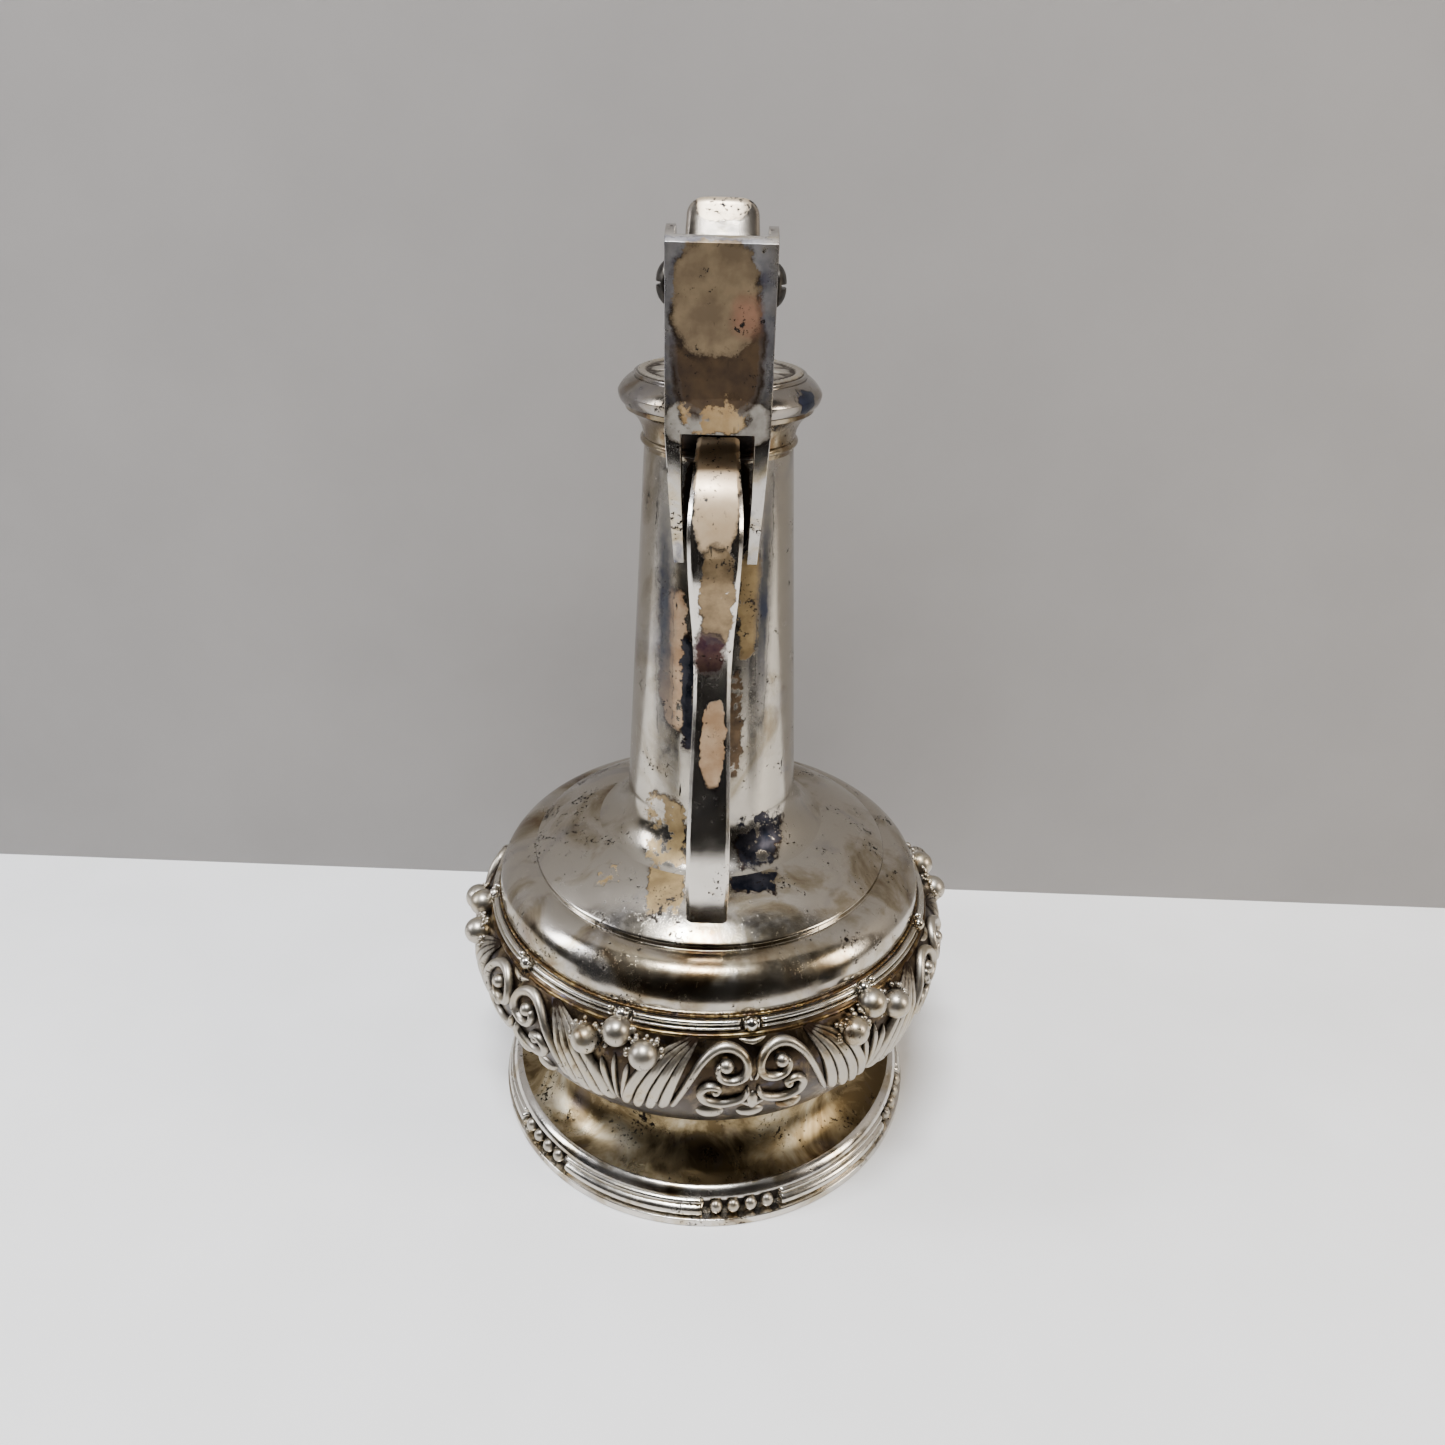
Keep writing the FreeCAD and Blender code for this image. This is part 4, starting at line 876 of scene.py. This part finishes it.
def humps(bounds, points=7):
    # rounded humps side by side: bounds are (first share, last share, height)
    section = []
    for first, last, height in bounds:
        for k in range(points):
            t = k / (points - 1)
            section.append((first + (last - first) * t, height * math.sqrt(max(0.0,
                1 - (2 * t - 1) ** 2)) + 0.02))
    return section


mouldings = {
    "rim": (59.5, 68.0),
    "step": (57.4, 71.0),
    "tieEvery": 30.0,
    "tieGap": 2.3,
    "tieBall": 1.75,
}


def girthMouldings():
    rim, step = mouldings["rim"], mouldings["step"]

    def at(share):
        return rim[0] + (step[0] - rim[0]) * share, rim[1] + (step[1] - rim[1]) * share
    reeds = Relief()
    for k in range(12):
        start = friezeSizes["scrollAzimuth"] + mouldings["tieEvery"] * k
        sweptMoulding(reeds, at(0.02), at(0.76), humps([(0.0, 0.34, 0.95), (0.38, 1.0, 1.3)]),
                      start + mouldings["tieGap"], start + mouldings["tieEvery"] - mouldings["tieGap"], 60,
                      1.2)
    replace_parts(finishPiece("girthReeds", reeds.bm, polishedReed, "pitcher", 50),
                "main_wire")
    milled = Relief()
    sweptMoulding(milled, at(0.79), at(1.02), humps([(0.0, 1.0, 0.5)]), 0, 360, 1440, ripple=(240, 0.35))
    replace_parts(finishPiece("milledWire", milled.bm, gildedFilm, "pitcher", 50),
                "upper_wire")
    lower = Relief()
    sweptMoulding(lower, (60.3, 66.2), (59.7, 67.6), humps([(0.0, 1.0, 0.7)]), 0, 360, 512, ripple=(96, 0.12))
    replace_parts(finishPiece("lowerWire", lower.bm, gildedFilm, "pitcher", 50), "lower_wire")
    ties = Relief()
    for k in range(12):
        azimuth = friezeSizes["scrollAzimuth"] + mouldings["tieEvery"] * k
        turn = math.radians(azimuth)
        for shift, radius, squash in ((0.0, mouldings["tieBall"], (0.95, 0.9, 1.05)),
                                      (-1.55, 1.1, (0.35, 0.9, 1.25)),
                                      (1.55, 1.1, (0.35, 0.9, 1.25))):
            angle = turn + shift / 59.5
            ties.ball(Vector((59.4 * math.sin(angle), -59.4 * math.cos(angle), 69.4)) * mm, radius, squash,
                      turn,
                      rows=14, columns=20)
    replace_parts(finishPiece("ribbonTies", ties.bm, polishedReed, "pitcher", 60),
                "ribbon_ties")


def footMouldings():
    for k in range(6):
        centre = friezeSizes["scrollAzimuth"] + 30.0 + 60.0 * k
        reeds = Relief()
        sweptMoulding(reeds, (57.4, 2.55), (57.4, 8.15), humps([(0.0, 0.66, 2.4), (0.70, 1.0, 1.5)], 9),
                      centre - 20, centre + 20,
                      80, 0.8)
        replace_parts(finishPiece("footReeds%d" % (k + 1), reeds.bm, polishedReed, "pitcher",
                                50),
                    "foot_reeds_%d" % (k + 1))
        beads = Relief()
        for j in range(4):
            angle = math.radians(centre - 30 + (j - 1.5) * 4.5)
            beads.ball(Vector((58.1 * math.sin(angle), -58.1 * math.cos(angle), 5.35)) * mm, 1.7,
                       (1, 1, 1.15), angle,
                       rows=16, columns=24)
        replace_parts(finishPiece("footBeads%d" % (k + 1), beads.bm, chasedSilver, "pitcher",
                                60),
                    "foot_beads_%d" % (k + 1))


girthMouldings()
footMouldings()
print("mouldings swept")


# strap handle

strapSizes = {
    "line": [(-40.5, 81.4), (-42.9, 95.4), (-42.3, 110.4), (-37.1, 126.4), (-32.3, 140.4), (-31.5, 151.4),
             (-34.3, 163.4),
             (-36.7, 173.5), (-35.1, 183.0), (-29.0, 190.7), (-17.0, 195.9)],
    "halfWidths": [(77.4, 5.0), (87.4, 4.9), (99.4, 5.1), (117.4, 4.8), (141.4, 4.2), (155.4, 4.5),
                   (167.4, 5.3),
                   (181.5, 5.8), (189.5, 5.2), (199.5, 4.0)],
    "thickness": 2.0,
    "edgeFacet": 0.9,
    "crown": 0.12,
}


def strapPiece():
    line = smoothLine(strapSizes["line"], 14)
    widths = smoothLine(strapSizes["halfWidths"], 10)
    half = strapSizes["thickness"] / 2
    bm = bmesh.new()
    rings = []
    for i, (y, z) in enumerate(line):
        before, after = line[max(0, i - 1)], line[min(len(line) - 1, i + 1)]
        dy, dz = after[0] - before[0], after[1] - before[1]
        length = math.hypot(dy, dz)
        ny, nz = -dz / length, dy / length
        width = min(widths, key=lambda pair: abs(pair[0] - z))[1]
        facet = strapSizes["edgeFacet"]
        section = [(width - facet, half), (width, 0.35 * half), (width, -0.5 * half), (width - 0.4, -half),
                   (-width + 0.4, -half), (-width, -0.5 * half), (-width, 0.35 * half),
                   (-width + facet, half),
                   (-0.4 * width, half + strapSizes["crown"]), (0.4 * width, half + strapSizes["crown"])]
        rings.append([bm.verts.new(Vector((x, y + ny * out, z + nz * out)) * mm) for x, out in section])
    for ring, after in zip(rings, rings[1:]):
        for k in range(10):
            bm.faces.new((ring[k], ring[(k + 1) % 10], after[(k + 1) % 10], after[k]))
    bm.faces.new(rings[0])
    bm.faces.new(rings[-1])
    piece = finishPiece("strapHandle", bm, strapSilver, "pitcher", 22)
    ease = piece.modifiers.new("ease", "BEVEL")
    ease.width = 0.12 * mm
    ease.segments = 2
    ease.limit_method = "ANGLE"
    ease.angle_limit = math.radians(22)
    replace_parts(piece, "handle_strap")


strapPiece()
print("strap bent")


# hinge bracket, pivot, lever, collar and lid details

def foldEdge(edge):
    # the two long outer folds of the bracket's channel
    a, b = (vert.co for vert in edge.verts)
    return all(abs(abs(c.x) - 10.7 * mm) < 0.1 * mm and c.y < -30.8 * mm for c in (a,
        b)) and abs(a.z - b.z) > 1 * mm


finishedCopy("hinge_bracket", bracketSilver, bevel=0.3, segments=4,
             folds=[(foldEdge, 1.3)])

thumbSizes = {
    "pivot": (-24.0, 227.5),
    "lean": 34.0,
    "low": 3.6,
    "reach": 17.6,
    "halfWidths": (7.6, 7.0),
    "halfThickness": 2.05,
    "corner": 3.6,
}


def thumbPiece():
    # a crowned pad: rounded sections stacked along the lean of the lever
    bm = bmesh.new()
    lean = math.radians(thumbSizes["lean"])
    rings = []
    rows, around = 34, 56
    corner = thumbSizes["corner"]
    lowHalf, highHalf = thumbSizes["halfWidths"]
    for i in range(rows + 1):
        share = (i / rows) ** 0.75
        z = thumbSizes["low"] + (thumbSizes["reach"] - thumbSizes["low"]) * share
        left = thumbSizes["reach"] - z
        wide = lowHalf + (highHalf - lowHalf) * share
        if left < corner:
            wide -= corner - math.sqrt(max(0.0, corner ** 2 - (corner - left) ** 2))
        thick = thumbSizes["halfThickness"] * math.sqrt(max(0.02, 1 - max(0.0, 1 - left / 2.2) ** 2))
        ring = []
        for k in range(around):
            angle = 2 * math.pi * k / around
            c, s = math.cos(angle), math.sin(angle)
            x = wide * math.copysign(abs(c) ** 0.55, c)
            y = thick * math.copysign(abs(s) ** 0.75, s)
            ring.append(bm.verts.new(Vector((
                x, thumbSizes["pivot"][0] + y * math.cos(lean) + z * math.sin(lean),
                thumbSizes["pivot"][1] - y * math.sin(lean) + z * math.cos(lean))) * mm))
        rings.append(ring)
    for ring, after in zip(rings, rings[1:]):
        for k in range(around):
            bm.faces.new((ring[k], ring[(k + 1) % around], after[(k + 1) % around], after[k]))
    bm.faces.new(rings[0])
    bm.faces.new(rings[-1])
    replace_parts(finishPiece("thumbPad", bm, thumbSilver, "lid", 50), "thumb_piece")


thumbPiece()
finishedCopy("lid_arm", spunSilver, "lid", bevel=0.35, segments=3)
finishedCopy("lever_knuckle", spunSilver, "lid", bevel=0.3, segments=3)
finishedCopy("pivot_bush", bushBrass, "lid", bevel=0.1)
finishedCopy("pivot_axle", screwSteel, bevel=0.15)
finishedCopy("pivot_screw_left", screwSteel, bevel=0.12)
finishedCopy("pivot_screw_right", screwSteel, bevel=0.12)
finishedCopy("arm_rivets", spunSilver, "lid", bevel=0.1)
finishedCopy("pouring_lip", spunSilver, bevel=0.25, segments=3)
finishedCopy("neck_collar", collarSilver, bevel=0.2)
finishedCopy("lid_flange", spunSilver, "lid", bevel=0.15)


medallionSizes = {
    "top": 207.0,
    "outer": 18.6,
    "rim": (17.6, 0.9),       # radius and half width of the milled rim
    "rope": (7.3, 0.8),       # the same for the ring inside the leaves
    "leaves": (8.2, 16.4),    # from and to, along the radius
    "lobes": 12,
    "rosette": 6.2,
    "button": 2.0,
    "armHalf": 5.4,
    "armEnd": -6.0,
}


def halfRound(r, ring):
    # height of a ring with a round section, given as its radius and half width
    return math.sqrt(max(0.0, 1 - ((r - ring[0]) / ring[1]) ** 2))


def medallionHeight(r, angle):
    # the relief's height at a radius and an angle counted from the handle's side
    edge = 0.55 * halfRound(r, medallionSizes["rim"]) * (0.8 + 0.2 * math.cos(72 * angle))
    leaf = 0.0
    first, last = medallionSizes["leaves"]
    if first < r < last:
        along = (r - first) / (last - first)
        across = abs(math.cos(medallionSizes["lobes"] / 2 * angle))
        body = max(0.0, across - 0.25 - 0.45 * along ** 2) / 0.75
        leaf = 0.85 * body ** 0.6 * math.sin(math.pi * min(1.0, along + 0.12)) ** 0.5
        leaf *= 0.75 + 0.25 * math.cos(24 * angle + 4 * along)
    rope = 0.45 * halfRound(r, medallionSizes["rope"])
    rosette = 0.0
    if r < medallionSizes["rosette"]:
        petals = abs(math.cos(4 * angle)) ** 0.5 * math.sin(math.pi * r / medallionSizes["rosette"]) ** 0.7
        rosette = 0.6 * petals + 0.8 * max(0.0, 1 - (r / medallionSizes["button"]) ** 2)
    return 0.06 + min(0.9, max(edge, leaf, rope, rosette))


def medallion():
    relief = Relief()
    rows, columns = 60, 360
    top, base = [], []
    for i in range(1, rows + 1):
        r = medallionSizes["outer"] * i / rows
        topRing, baseRing = [], []
        for k in range(columns):
            angle = 2 * math.pi * k / columns
            x, y = r * math.sin(angle), -r * math.cos(angle)
            height = medallionHeight(r, angle)
            if abs(x) < medallionSizes["armHalf"] and y < medallionSizes["armEnd"]:
                height = 0.06
            if i == rows:
                height = 0.02
            topRing.append(relief.point(Vector((x, y, medallionSizes["top"] + height)) * mm,
                                        min(1.0, height / 0.6)))
            baseRing.append(relief.point(Vector((x, y, medallionSizes["top"] - 0.2)) * mm, 0.0))
        top.append(topRing)
        base.append(baseRing)
    for rings, centreHeight, polish in ((top, 0.86, 1.0), (base, -0.2, 0.0)):
        relief.skin(rings, False)
        centre = relief.point(Vector((0, 0, medallionSizes["top"] + centreHeight)) * mm, polish)
        for k in range(columns):
            relief.bm.faces.new((centre, rings[0][k], rings[0][(k + 1) % columns]))
    for k in range(columns):
        relief.bm.faces.new((top[-1][k], top[-1][(k + 1) % columns], base[-1][(k + 1) % columns],
                             base[-1][k]))
    piece = finishPiece("lidMedallion", relief.bm, chasedSilver, "lid", 60)
    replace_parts(piece, "lid_medallion")


medallion()
print("bracket, lever and lid finished")
